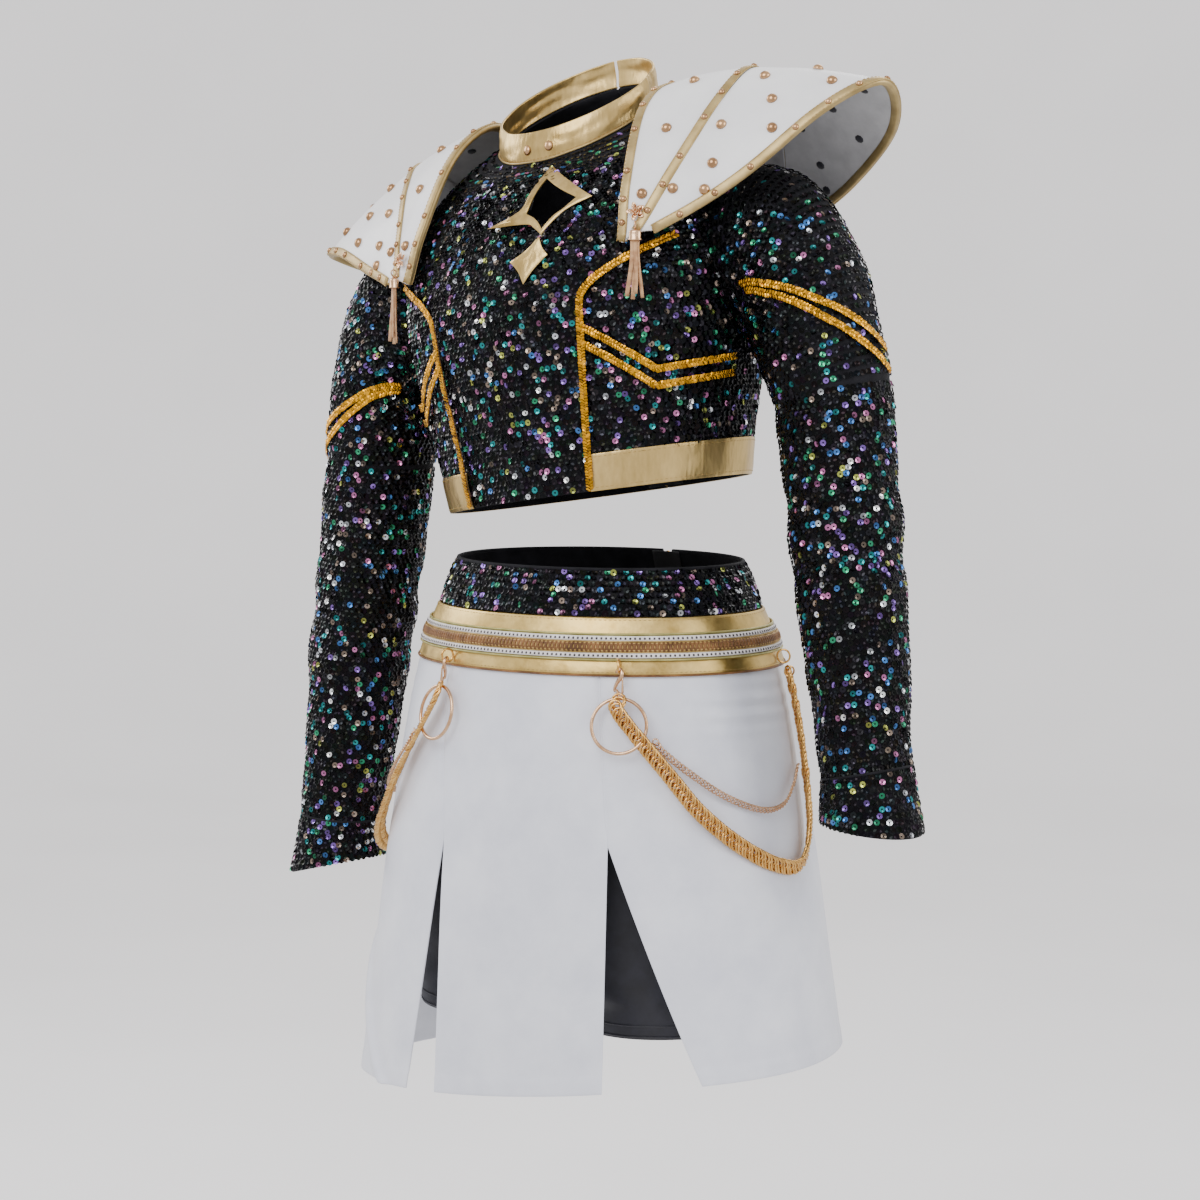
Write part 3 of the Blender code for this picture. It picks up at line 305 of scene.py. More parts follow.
floor_pale = finish("pale_floor", (0.86, 0.85, 0.855), (0.90, 0.89, 0.895), 0.9,
                    inputs={"Scale": 40.0, "Patches": 2.0}, bump=0.02, Emission_Color=(1, 0.985, 0.99, 1),
                    Emission_Strength=0.27)
print("finishes:", len(bpy.data.materials))

# %% [markdown]
# ## The pattern
#
# A garment is cut from a pattern: widths and depths at a few heights, joined by smooth curves. The CAD
# model was cut from the same rows, so a fine surface laid on them meets its CAD solid. An angle runs
# round the wearer from the centre front towards the wearer's left. The stance tips the chest: the left
# shoulder is higher, and the chest leans to the right.

# %% Pattern rows
TOP_HEM, BAND_HEIGHT, LEAN_UP, LEAN_OVER = 0.050, 0.028, 0.155, 0.07
TOP_ROWS = (  # height, half width, depth in front, depth behind, rise towards the back
    (TOP_HEM, 0.1255, 0.1005, 0.0960, 0.0), (0.100, 0.1340, 0.1080, 0.0975, 0.0),
    (0.150, 0.1460, 0.1170, 0.0985, 0.0), (0.200, 0.1540, 0.1210, 0.0990, 0.0),
    (0.235, 0.1530, 0.1120, 0.0990, 0.0), (0.262, 0.1460, 0.1020, 0.0980, 0.05),
    (0.292, 0.1290, 0.0890, 0.0900, 0.17), (0.318, 0.1000, 0.0740, 0.0740, 0.36),
    (0.3355, 0.0640, 0.0570, 0.0570, 0.53),
)
NECK = TOP_ROWS[-1][0]
BAND_TOP = TOP_HEM + BAND_HEIGHT
SKIRT_ROWS = (  # height, half width, half depth
    (0.0, 0.1185, 0.0950), (-0.0345, 0.1330, 0.1065), (-0.0765, 0.1500, 0.1200), (-0.130, 0.1620, 0.1320),
    (-0.180, 0.1700, 0.1400), (-0.240, 0.1800, 0.1480), (-0.320, 0.1910, 0.1560), (-0.393, 0.2010, 0.1630),
)
BAND_BOTTOM, BELT_BOTTOM, SKIRT_HEM, HEM_SLOPE = -0.0345, -0.0765, -0.393, 0.10
SLEEVE_HEAD = (  # inner x, inner z, outer x, outer z, half depth
    (0.1495, 0.147, 0.1378, 0.283, 0.046), (0.1535, 0.143, 0.1950, 0.262, 0.050),
    (0.1570, 0.136, 0.2280, 0.215, 0.050), (0.1630, 0.122, 0.2450, 0.165, 0.047),
    (0.1710, 0.095, 0.2560, 0.105, 0.0435),
)
ARM_RADII = ((0.100, 0.0425), (0.030, 0.041), (-0.060, 0.039), (-0.140, 0.0345), (-0.1815, 0.0325))
ARM_SPREAD = {"left": 0.04, "right": 0.22}
SIDES = (("left", 1), ("right", -1))


def mix(a, b, t):
    return a + (b - a) * t


def ease(t):
    """A smooth step from 0 to 1."""
    t = min(max(t, 0.0), 1.0)
    return t * t * (3 - 2 * t)


def row_at(rows, height):
    """The values of a table at a height, on a smooth curve through its rows."""
    rows = sorted(rows)
    height = min(max(height, rows[0][0]), rows[-1][0])
    i = max(k for k in range(len(rows) - 1) if rows[k][0] <= height)
    before, first, second, after = rows[max(i - 1, 0)], rows[i], rows[i + 1], rows[min(i + 2, len(rows) - 1)]
    span = second[0] - first[0]
    t = (height - first[0]) / span
    values = []
    for b, f, s, a in zip(before[1:], first[1:], second[1:], after[1:]):
        rise = (s - b) / (second[0] - before[0]) * span
        leave = (a - f) / (after[0] - first[0]) * span
        values.append((2 * t**3 - 3 * t**2 + 1) * f + (t**3 - 2 * t**2 + t) * rise
                      + (3 * t**2 - 2 * t**3) * s + (t**3 - t**2) * leave)
    return values


def lean(point):
    x, y, z = point
    return Vector((x - LEAN_OVER * (z - TOP_HEM), y, z + LEAN_UP * x))


def top_point(angle, height, out=0.0):
    """A point on the top's shell, before the lean."""
    half_width, front, back, rise = row_at(TOP_ROWS, height)
    depth = mix(front, back, (1 - math.cos(angle)) / 2)
    y = -(depth + out) * math.cos(angle)
    return Vector(((half_width + out) * math.sin(angle), y, height + rise * y))


def skirt_point(angle, height, out=0.0):
    half_width, depth = row_at(SKIRT_ROWS, height)
    spot = Vector(((half_width + out) * math.sin(angle), -(depth + out) * math.cos(angle), height))
    down = max((BELT_BOTTOM - height) / (BELT_BOTTOM - SKIRT_HEM), 0.0)
    return spot + Vector((0, 0, HEM_SLOPE * spot.x * down))


def sleeve_ring(side, level):
    """(centre, half vector to the outer side, half depth) from the armhole at level 0 to the cuff at 1."""
    head = len(SLEEVE_HEAD) - 1
    steps = head + 8
    place = level * steps
    if place <= head:
        rows = [(float(i), *row) for i, row in enumerate(SLEEVE_HEAD)]
        inner_x, inner_z, outer_x, outer_z, depth = row_at(rows, place)
        inner, outer = Vector((inner_x, 0, inner_z)), Vector((outer_x, 0, outer_z))
        return (inner + outer) / 2, (outer - inner) / 2, depth
    height = mix(ARM_RADII[0][0], ARM_RADII[-1][0], (place - head) / (steps - head))
    radius, slope = row_at(ARM_RADII, height)[0], ARM_SPREAD[side]
    centre = Vector((0.2143 + slope * (ARM_RADII[0][0] - height), 0.0, height))
    return centre, Vector((radius, 0, slope * radius)), radius


def sleeve_point(side, angle, level, out=0.0):
    """A point of the sleeve in place. Angle 0 faces front, and a quarter turn is the outer side."""
    centre, half, depth = sleeve_ring(side, level)
    spot = centre + half * math.sin(angle) * (1 + out / half.length)
    spot += Vector((0, -(depth + out) * math.cos(angle), 0))
    return lean((spot.x if side == "left" else -spot.x, spot.y, spot.z))


def princess(height):
    """The angle of the princess seam: upright at first, then turning out to the armhole."""
    t = min(max((height - 0.190) / 0.060, 0.0), 1.0)
    return math.radians(26 + 64 * t * t)


print("top hem to neck:", round(NECK - TOP_HEM, 3), "m; skirt length:", -SKIRT_HEM, "m")

# %% [markdown]
# ## Making pieces
#
# Three helpers make nearly everything. `cloth` bends a grid to a pattern and gives it a wall. `copies`
# sets one small shape down many times, as a sequin machine does, and gives each copy its own shade. `tube`
# sweeps a round or flat section along a path, for cord, wire and binding.

# %% Helpers for pieces
def own_name(name):
    """A piece's name, kept apart from the CAD node that it stands for."""
    return f"{name}_finished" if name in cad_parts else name


def link(name, bm, material, body, smooth=True, blend=None):
    """Links a bmesh as a finished piece that rides on a body; with blend set it stays where it is, on no body."""
    name = own_name(name)
    mesh = bpy.data.meshes.new(name)
    bm.to_mesh(mesh)
    bm.free()
    piece = bpy.data.objects.new(name, mesh)
    piece.data.materials.append(material)
    bpy.context.scene.collection.objects.link(piece)
    if smooth:
        mesh.shade_smooth()
    if blend:
        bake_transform(piece)
    else:
        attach(piece, body)
    return piece


def cloth(name, point, steps, material, body, wall=0.0012, keep=None, closed=False, side=-1.0,
          flip=False, rim=0, back=None):
    """A panel bent to point(u, v), with u round to the left and v up; `keep` says which faces stay."""
    bm = bmesh.new()
    bmesh.ops.create_grid(bm, x_segments=steps[0], y_segments=steps[1], size=0.5)
    for vert in bm.verts:
        vert.co = point(vert.co.x + 0.5, vert.co.y + 0.5)
    if closed:
        bmesh.ops.remove_doubles(bm, verts=bm.verts, dist=1e-6)
    if keep:
        lost = [face for face in bm.faces if not keep(face.calc_center_median())]
        bmesh.ops.delete(bm, geom=lost, context="FACES")
    if flip:
        bmesh.ops.reverse_faces(bm, faces=bm.faces[:])
    piece = link(name, bm, material, body)
    solid = piece.modifiers.new("wall", "SOLIDIFY")
    solid.thickness, solid.offset = wall, side
    if rim:
        solid.use_even_offset = True
        bevel = piece.modifiers.new("edge", "BEVEL")
        bevel.width, bevel.segments, bevel.limit_method = rim, 2, "ANGLE"
    if back:
        piece.data.materials.append(back)
        solid.material_offset = 1
    return piece


def copies(name, shape, places, material, body, tints=None, smooth=False):
    """One mesh that holds a small shape at each 4x4 matrix, with a colour for each copy."""
    name = own_name(name)
    points, faces = shape
    places = np.array(places, dtype=float).reshape(-1, 4, 4)
    count = len(places)
    local = np.column_stack([np.array(points, dtype=float), np.ones(len(points))])
    moved = np.einsum("kij,nj->kni", places, local)[:, :, :3].reshape(-1, 3)
    shifted = [[i + k * len(points) for i in face] for k in range(count) for face in faces]
    mesh = bpy.data.meshes.new(name)
    mesh.from_pydata(moved.tolist(), [], shifted)
    if tints is not None:
        layer = mesh.color_attributes.new("tint", "FLOAT_COLOR", "POINT")
        shade = np.column_stack([np.repeat(np.array(tints), len(points), axis=0),
                                 np.ones(count * len(points))])
        layer.data.foreach_set("color", shade.ravel())
    if smooth:
        mesh.shade_smooth()
    piece = bpy.data.objects.new(name, mesh)
    mesh.materials.append(material)
    bpy.context.scene.collection.objects.link(piece)
    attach(piece, body)
    return piece


def turned(across, up, out, spot, scale=(1, 1, 1)):
    """A 4x4 matrix whose axes are three directions, placed at a spot."""
    place = np.eye(4)
    for k, (axis, size) in enumerate(zip((across, up, out), scale)):
        place[:3, k] = np.array(axis) * size
    place[:3, 3] = spot
    return place


def frames(path, up=None):
    """(point, along, side, normal) at each point of a path, turning as little as it can."""
    result, normal = [], None
    for k, spot in enumerate(path):
        along = (path[min(k + 1, len(path) - 1)] - path[max(k - 1, 0)]).normalized()
        if up is not None:
            normal = up[k] if isinstance(up, list) else up
        elif normal is None:
            normal = along.orthogonal()
        normal = (normal - along * normal.dot(along)).normalized()
        result.append((spot, along, along.cross(normal), normal))
    return result


def tube_into(bm, path, half, thick=None, sides=8, closed=False, up=None, ends=True, profile=None):
    """Adds a tube along a path: `half` wide to each side and `thick` high, with its ends closed."""
    thick = half if thick is None else thick
    rings = []
    for k, (spot, along, side, normal) in enumerate(frames(path, up)):
        if closed and k in (0, len(path) - 1):
            along = (path[(k + 1) % len(path)] - path[k - 1]).normalized()
            normal = (normal - along * normal.dot(along)).normalized()
            side = along.cross(normal)
        grow = profile(k / (len(path) - 1)) if profile else 1.0
        rings.append([
            bm.verts.new(spot + side * half * grow * math.cos(t) + normal * thick * grow * math.sin(t))
            for t in (2 * math.pi * i / sides for i in range(sides))
        ])
    pairs = list(zip(rings, rings[1:])) + ([(rings[-1], rings[0])] if closed else [])
    for first, second in pairs:
        for i in range(sides):
            bm.faces.new((first[i], first[(i + 1) % sides], second[(i + 1) % sides], second[i]))
    if ends and not closed:
        bm.faces.new(rings[0])
        bm.faces.new(rings[-1])


def tube(name, path, half, material, body, slot, **options):
    """One tube as a piece."""
    bm = bmesh.new()
    tube_into(bm, path, half, **options)
    bmesh.ops.recalc_face_normals(bm, faces=bm.faces[:])
    return link(name, bm, material, body)


def smooth_path(points, steps):
    rows = [(float(i), *point) for i, point in enumerate(points)]
    last = len(points) - 1
    return [Vector(row_at(rows, last * k / steps)) for k in range(steps + 1)]


def even_path(path, spacing):
    """Points at an even spacing along a path, as (point, direction)."""
    lengths = np.concatenate([[0], np.cumsum([(b - a).length for a, b in zip(path, path[1:])])])
    count = max(int(lengths[-1] / spacing), 1)
    spots = []
    for k in range(count + 1):
        i = min(int(np.searchsorted(lengths, lengths[-1] * k / count, side="right")) - 1, len(path) - 2)
        share = (lengths[-1] * k / count - lengths[i]) / max(lengths[i + 1] - lengths[i], 1e-9)
        spots.append((path[i].lerp(path[i + 1], share), (path[i + 1] - path[i]).normalized()))
    return spots


def ball(segments=8, rings=5, depth=1.0):
    """A round ball as (points, faces), for beads."""
    bm = bmesh.new()
    bmesh.ops.create_uvsphere(bm, u_segments=segments, v_segments=rings, radius=1.0)
    points = [(*vert.co.xy, vert.co.z * depth) for vert in bm.verts]
    faces = [[vert.index for vert in face.verts] for face in bm.faces]
    bm.free()
    return points, faces


def dome_shape(segments=10, rings=3):
    """A domed stud of radius 1, its flat back at height 0."""
    points, faces = [(0, 0, 1.0)], []
    for ring in range(1, rings + 1):
        t = math.pi / 2 * ring / rings
        points += [(math.sin(t) * math.cos(a), math.sin(t) * math.sin(a), math.cos(t))
                   for a in (2 * math.pi * i / segments for i in range(segments))]
    for i in range(segments):
        after = (i + 1) % segments
        faces.append([0, 1 + i, 1 + after])
        for ring in range(rings - 1):
            low = 1 + ring * segments
            faces.append([low + i, low + segments + i, low + segments + after, low + after])
    faces.append([1 + (rings - 1) * segments + i for i in reversed(range(segments))])
    return points, faces


def wobble(place, scale, seed=0.0):
    """Smooth noise from -1 to 1 at a point, so that neighbouring pieces share one pattern of folds."""
    return pattern.noise(Vector(place) * scale + Vector((seed, seed * 1.7, seed * 0.6)))


print("helpers ready")

# %% [markdown]
# ## Sequins
#
# The fabric of the top is a black stretch knit with thousands of small cupped discs sewn to it. Each disc
# hangs from its thread, so its lower edge stands out a little, and no two face quite the same way. That is
# what makes the cloth sparkle. A disc here is a ring of eight small facets round its sewing hole. Most are
# a dark film, and a few return teal, green, blue, violet or a pale flash.

# %% Sequin cloth
SEQUIN_RADIUS, SEQUIN_STEP = 0.0024, 0.0047
RIM = [(math.cos(t), math.sin(t)) for t in (math.pi / 4 * i for i in range(8))]
DISC = ([(x, y, 0.10) for x, y in RIM] + [(0.30 * x, 0.30 * y, -0.12) for x, y in RIM],
        [[i, (i + 1) % 8, 8 + (i + 1) % 8, 8 + i] for i in range(8)])
GLINTS = (  # share, colour
    (0.66, (0.003, 0.003, 0.004)), (0.125, (0.016, 0.016, 0.021)), (0.036, (0.015, 0.26, 0.27)),
    (0.027, (0.03, 0.30, 0.15)), (0.027, (0.06, 0.20, 0.52)), (0.034, (0.22, 0.12, 0.44)),
    (0.026, (0.52, 0.18, 0.38)), (0.012, (0.42, 0.46, 0.10)), (0.025, (0.26, 0.20, 0.16)),
    (0.028, (0.86, 0.90, 0.96)),
)


def glint():
    """The colour of one disc."""
    share, colour = rng.random(), GLINTS[0][1]
    for weight, option in GLINTS:
        share -= weight
        if share < 0:
            colour = option
            break
    return np.clip(np.array(colour) * rng.uniform(0.3, 1.4) + rng.uniform(0, 0.006, 3), 0, 1)


def sequins(name, point, body, keep=None, flip=False, step=SEQUIN_STEP, lift=0.0007):
    """Sews discs in staggered rows over point(u, v), and prints how many."""
    rise = np.mean([sum((point(u, (k + 1) / 20) - point(u, k / 20)).length for k in range(20))
                    for u in (0.12, 0.37, 0.62, 0.87)])
    rows = max(int(rise / (step * 0.87)), 1)
    places, tints = [], []
    for row in range(rows):
        v = (row + 0.5) / rows
        ring = [point(k / 90, v) for k in range(91)]
        lengths = np.concatenate([[0], np.cumsum([(b - a).length for a, b in zip(ring, ring[1:])])])
        count = max(int(lengths[-1] / step), 1)
        offset = 0.5 * (row % 2) + rng.uniform(-0.08, 0.08)
        for u in np.interp((np.arange(count) + offset) / count * lengths[-1], lengths, np.arange(91) / 90):
            u = min(max(u + rng.uniform(-0.1, 0.1) * step / lengths[-1], 0.002), 0.998)
            spot = point(u, v)
            if keep and not keep(spot):
                continue
            along = (point(min(u + 0.004, 1), v) - point(max(u - 0.004, 0), v)).normalized()
            up = (point(u, min(v + 0.01, 1)) - point(u, max(v - 0.01, 0))).normalized()
            out = along.cross(up) * (-1 if flip else 1)
            tilt_up, tilt_side = math.radians(rng.normal(9, 11)), math.radians(rng.normal(0, 12))
            facing = (out + up * math.sin(tilt_up) + along * math.sin(tilt_side)).normalized()
            up = (up - facing * up.dot(facing)).normalized()
            spin = rng.uniform(0, math.pi)
            side = up.cross(facing)
            first, second = side * math.cos(spin) + up * math.sin(spin), up * math.cos(spin) - side * math.sin(spin)
            size = SEQUIN_RADIUS * rng.uniform(0.94, 1.04)
            places.append(turned(first, second, facing, spot + out * lift, (size,) * 3))
            tints.append(glint())
    piece = copies(name, DISC, places, sequin_film, body, tints)
    print(f"{name}: {len(places)} sequins in {rows} rows")
    return piece


# %% [markdown]
# ## Bodice
#
# The body of the top is cut in panels: a front with princess seams that turn out to the armholes, side
# fronts, and two backs with the zip between them. Sequins cover the seams, so one knit shell carries them
# all. It stops at the armhole planes and round the keyhole window, and its folds run up from the waist.

# %% Bodice shell and its sequins
KEYHOLE_MIDDLE, KEYHOLE_WIDTH, KEYHOLE_HEIGHT = (0.0325, 0.2675), 0.038, 0.040
# The sides of each outline, from the top clockwise, as shares of the keyhole's size round its middle
WINDOW = (((-0.29, 0.53), (0.15, 0.27), (0.60, 0.03)), ((0.60, 0.03), (0.40, -0.14), (0.20, -0.27), (0.04, -0.47)),
          ((0.04, -0.47), (-0.08, -0.33), (-0.22, -0.22), (-0.40, -0.13)), ((-0.40, -0.13), (-0.37, 0.10), (-0.34, 0.32),
                                                                          (-0.29, 0.53)))
FRAME = (((-0.40, 0.80), (0.28, 0.40), (0.92, 0.00)), ((0.92, 0.00), (0.50, -0.16), (0.27, -0.34), (0.05, -0.58)),
         ((0.05, -0.58), (-0.14, -0.43), (-0.36, -0.33), (-1.29, -0.27)), ((-1.29, -0.27), (-0.60, -0.06), (-0.50, 0.30),
                                                                          (-0.40, 0.80)))
DIAMOND = (((0.02, -0.61), (0.12, -0.82), (0.26, -0.98)), ((0.26, -0.98), (0.00, -1.22), (-0.20, -1.47)),
           ((-0.20, -1.47), (-0.34, -1.22), (-0.56, -1.00)), ((-0.56, -1.00), (-0.24, -0.84), (0.02, -0.61)))


def chest_outline(sides, steps=10):
    """An outline's places (x, z) on the upright chest, with a smooth curve along each side."""
    across, up = KEYHOLE_MIDDLE
    outline = []
    for side in sides:
        curve = smooth_path([(x, z, 0.0) for x, z in side], steps)[:-1]
        outline += [(across + spot.x * KEYHOLE_WIDTH, up + spot.y * KEYHOLE_HEIGHT) for spot in curve]
    return outline


WINDOW_LINE = chest_outline(WINDOW)
BACK_EDGE = math.pi - 0.004


def upright(point):
    """Takes the lean off a point."""
    x, y, z = point
    height = z - LEAN_UP * x
    for _ in range(4):
        straight = x + LEAN_OVER * (height - TOP_HEM)
        height = z - LEAN_UP * straight
    return Vector((straight, y, height))


def armhole_side(point):
    """Over 0 outside the armhole's plane, which leans in towards the shoulder."""
    return abs(point.x) - (0.150 - 0.086 * (point.z - 0.135))


def in_keyhole(point, grow=1.0):
    """Whether an upright point is inside the window: a level line from it crosses the outline an odd number of times."""
    across, up = KEYHOLE_MIDDLE
    if point.y > 0 or abs(point.z - up) > KEYHOLE_HEIGHT:
        return False
    x, z, inside = across + (point.x - across) / grow, up + (point.z - up) / grow, False
    for (x0, z0), (x1, z1) in zip(WINDOW_LINE, WINDOW_LINE[1:] + WINDOW_LINE[:1]):
        if (z0 > z) != (z1 > z) and x < x0 + (z - z0) / (z1 - z0) * (x1 - x0):
            inside = not inside
    return inside


def folds(spot, height):
    """Soft ripples of the bodice: deeper at the waist, drawn up towards the bust."""
    low = 1 - ease((height - TOP_HEM) / 0.13)
    return 0.0022 * low * wobble((spot.x, spot.y, height * 0.3), 26) + 0.0006 * wobble(spot, 60, 3)


def bodice(low, high, first, last):
    def point(u, v):
        height, angle = mix(low, high, v), mix(first, last, u)
        spot = top_point(angle, height)
        return lean(top_point(angle, height, folds(spot, height) - 0.0012))
    return point


def on_bodice(point):
    straight = upright(point)
    return armhole_side(straight) < 0.001 and not in_keyhole(straight, 1.12)


for name, sign in SIDES:
    low_edge, high_edge = sorted((0.0, sign * BACK_EDGE))
    shell = cloth(f"bodice_{name}", bodice(TOP_HEM + 0.0005, NECK, low_edge, high_edge), (96, 84), knit, "top",
                  keep=on_bodice)
    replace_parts(shell, f"side_front_{name}", f"back_{name}", *(["front_panel"] if sign > 0 else []))
    low_edge, high_edge = sorted((0.0, sign * (math.pi - 0.03)))
    sequins(f"bodice_sequins_{name}", bodice(BAND_TOP - 0.002, NECK - 0.002, low_edge, high_edge), "top",
            keep=on_bodice)
sequins("front_waist_sequins", bodice(TOP_HEM + 0.001, BAND_TOP - 0.002, -princess(TOP_HEM), princess(TOP_HEM)),
        "top")

# %% [markdown]
# ## Sleeves and cuffs
#
# A sleeve is a tube of the same cloth, eased into the armhole. It creases at the inside of the elbow and
# above the cuff, where there is more length than the arm needs. The cuff is a stiffer flared band, longer
# at the outer side. Folds are part of the surface, so the sequins follow them.

# %% Sleeves
CUFF_LENGTH = 0.053


def sleeve_surface(name, out=0.0):
    def point(u, v):
        angle, level = 2 * math.pi * u, 1 - v
        spot = sleeve_point(name, angle, level)
        ring = math.sin(level * 46 + 1.6 * math.sin(angle + 1)) * math.sin(math.pi * min(level * 1.02, 1))
        elbow = math.exp(-((level - 0.60) / 0.13) ** 2) + 0.7 * math.exp(-((level - 0.93) / 0.07) ** 2)
        fold = 0.0013 * ring * elbow + 0.0016 * wobble((spot.x, spot.y, spot.z * 1.8), 20, 5)
        return sleeve_point(name, angle, level, out + fold * ease(level * 9))
    return point


def cuff_surface(name, out=0.0, low=0.0):
    def point(u, v):
        angle = 2 * math.pi * u
        centre, half, depth = sleeve_ring(name, 1.0)
        drop = ((1 - v) * (1 - low) + low) * CUFF_LENGTH * mix(0.55, 1.0, (1 + math.sin(angle)) / 2) + 0.0008
        grow = 1 + 0.12 * (1 - v) * (1 - low) + 0.12 * low + 0.02 + out / depth
        spot = centre + (half * math.sin(angle) + Vector((0, -depth * math.cos(angle), 0))) * grow
        spot += Vector((ARM_SPREAD[name], 0, -1)).normalized() * drop
        return lean((spot.x if name == "left" else -spot.x, spot.y, spot.z))
    return point


for name, sign in SIDES:
    turn = sign < 0
    sleeve = cloth(f"sleeve_{name}", sleeve_surface(name, -0.0003), (48, 72), knit, "top",
                   closed=True, flip=turn)
    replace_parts(sleeve, f"sleeve_{name}")
    sequins(f"sleeve_sequins_{name}", sleeve_surface(name, 0.0003), "top", flip=turn)
    cuff = cloth(f"cuff_{name}", cuff_surface(name), (48, 12), knit, "top", wall=0.0018,
                 closed=True, flip=turn, rim=0.0006)
    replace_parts(cuff, f"cuff_{name}")
    sequins(f"cuff_sequins_{name}", cuff_surface(name, 0.0004), "top", flip=turn)
    seam = [cuff_surface(name, 0.0006)(k / 48, 1.0) for k in range(48)]
    tube(f"cuff_seam_{name}", seam, 0.0011, knit, "top", "black_sequin", closed=True, sides=6)

# %% [markdown]
# ## Gold foil leather: hem bands, collar, keyhole frame and diamond
#
# The gold pieces are thin leather with a foil face, cut and sewn flat, so they crease where the body
# bends them. The creases are made twice: large ones move the surface, and fine ones are in the finish.
# Each band has a folded edge with a row of stitches along it.

# %% Foil bands and stitches


def creased(spot, deep=0.0006, seed=0.0):
    """Sharp-edged dents: the ridges of smooth noise, turned down."""
    return -deep * (1 - abs(wobble((spot.x, spot.y, spot.z * 0.7), 34, seed)) * 2.2) * 0.6


def outward(point, u, v, flip=False):
    """The direction that point(u, v) faces."""
    along = point(min(u + 0.004, 1), v) - point(max(u - 0.004, 0), v)
    up = point(u, min(v + 0.01, 1)) - point(u, max(v - 0.01, 0))
    return along.cross(up).normalized() * (-1 if flip else 1)


STITCH = ball(6, 4)


def stitches(name, paths, material, body, length=0.0026, gap=0.0011, thick=0.00028):
    """Thread stitches along paths of (spot, outward)."""
    places = []
    for path in paths:
        spots = [spot for spot, _ in path]
        for spot, along in even_path(spots, length + gap):
            nearest = min(range(len(spots)), key=lambda k: (spots[k] - spot).length_squared)
            out = path[nearest][1]
            side = along.cross(out).normalized()
            places.append(turned(along, side, out, spot, (length / 2, thick, thick)))
    return copies(name, STITCH, places, material, body, smooth=True)


def edge_stitches(name, point, levels, material, body, first=0.004, last=0.996, lift=0.0001, steps=120,
                  flip=False):
    """Rows of stitches at shares v of a panel's height."""
    rows = [[(point(u, v) + outward(point, u, v, flip) * lift, outward(point, u, v, flip))
             for u in (mix(first, last, k / steps) for k in range(steps + 1))] for v in levels]
    return stitches(name, rows, material, body)


for name, sign in SIDES:
    band_edges = sorted((sign * princess(TOP_HEM), sign * BACK_EDGE))

    def band(u, v, edges=band_edges):
        height, angle = mix(TOP_HEM, BAND_TOP, v), mix(*edges, u)
        spot = top_point(angle, height)
        curl = 0.0008 * (1 - math.sin(math.pi * v)) ** 3
        return lean(top_point(angle, height, folds(spot, height) + 0.0011 + creased(spot) - curl))

    piece = cloth(f"hem_band_{name}", band, (150, 22), foil, "top", wall=0.0014, rim=0.0004)
    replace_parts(piece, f"hem_band_{name}")
    edge_stitches(f"hem_band_stitches_{name}", band, (0.10, 0.91), thread_gold, "top")


def collar(u, v, out=0.0):
    """The stand collar: it follows the neckline's slope and is open at the centre back."""
    half_width, depth, _, rise = TOP_ROWS[-1][1:]
    angle = mix(0.024 - math.pi, math.pi - 0.024, u)
    grow = out - 0.0015 * v + 0.0012 * math.sin(math.pi * v) + 0.0008 * wobble((angle, v, 0), 3.1)
    y = -(depth + grow) * math.cos(angle)
    return lean(((half_width + grow) * math.sin(angle), y, NECK + 0.0005 + 0.022 * v + rise * y))


def collar_face(u, v):
    spot = collar(u, v)
    return collar(u, v, creased(spot, 0.0007, 2))


piece = cloth("collar", collar_face, (170, 18), foil, "top", wall=0.0018, rim=0.0006)
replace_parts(piece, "collar")
edge_stitches("collar_stitches", collar_face, (0.09,), thread_gold, "top")
collar_piping = [collar(k / 120, 0.015, 0.0006) for k in range(121)]
tube("collar_piping", collar_piping, 0.0009, binding_gold, "top", "gold_foil_leather", sides=8)
neck_edge = [collar(k / 100, 0.0, -0.0004) - Vector((0, 0, 0.0012)) for k in range(101)]
tube("neckline_roll", neck_edge, 0.0013, knit, "top", "black_sequin", sides=8)

DOME = dome_shape(16, 4)
for name, _ in SIDES:
    low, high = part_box(f"collar_stud_{name}")
    middle = (low + high) / 2
    facing = Vector((middle.x, middle.y, 0.006)).normalized()
    side = facing.cross(Vector((0, 0, 1))).normalized()
    place = turned(side, side.cross(facing) * -1, facing, middle - facing * 0.0014, (0.0042, 0.0042, 0.0026))
    stud = copies(f"collar_stud_{name}", DOME, [place], stud_gold, "top", smooth=True)
    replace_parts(stud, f"collar_stud_{name}")

# %% Keyhole frame and diamond


def chest(x, z, out):
    """A flat (x, z) of the chest in place: finds the row whose rise brings it to that height."""
    row = z
    for _ in range(8):
        spot = top_point(math.asin(x / row_at(TOP_ROWS, row)[0]), row, out)
        row += z - spot.z
    return lean(spot)


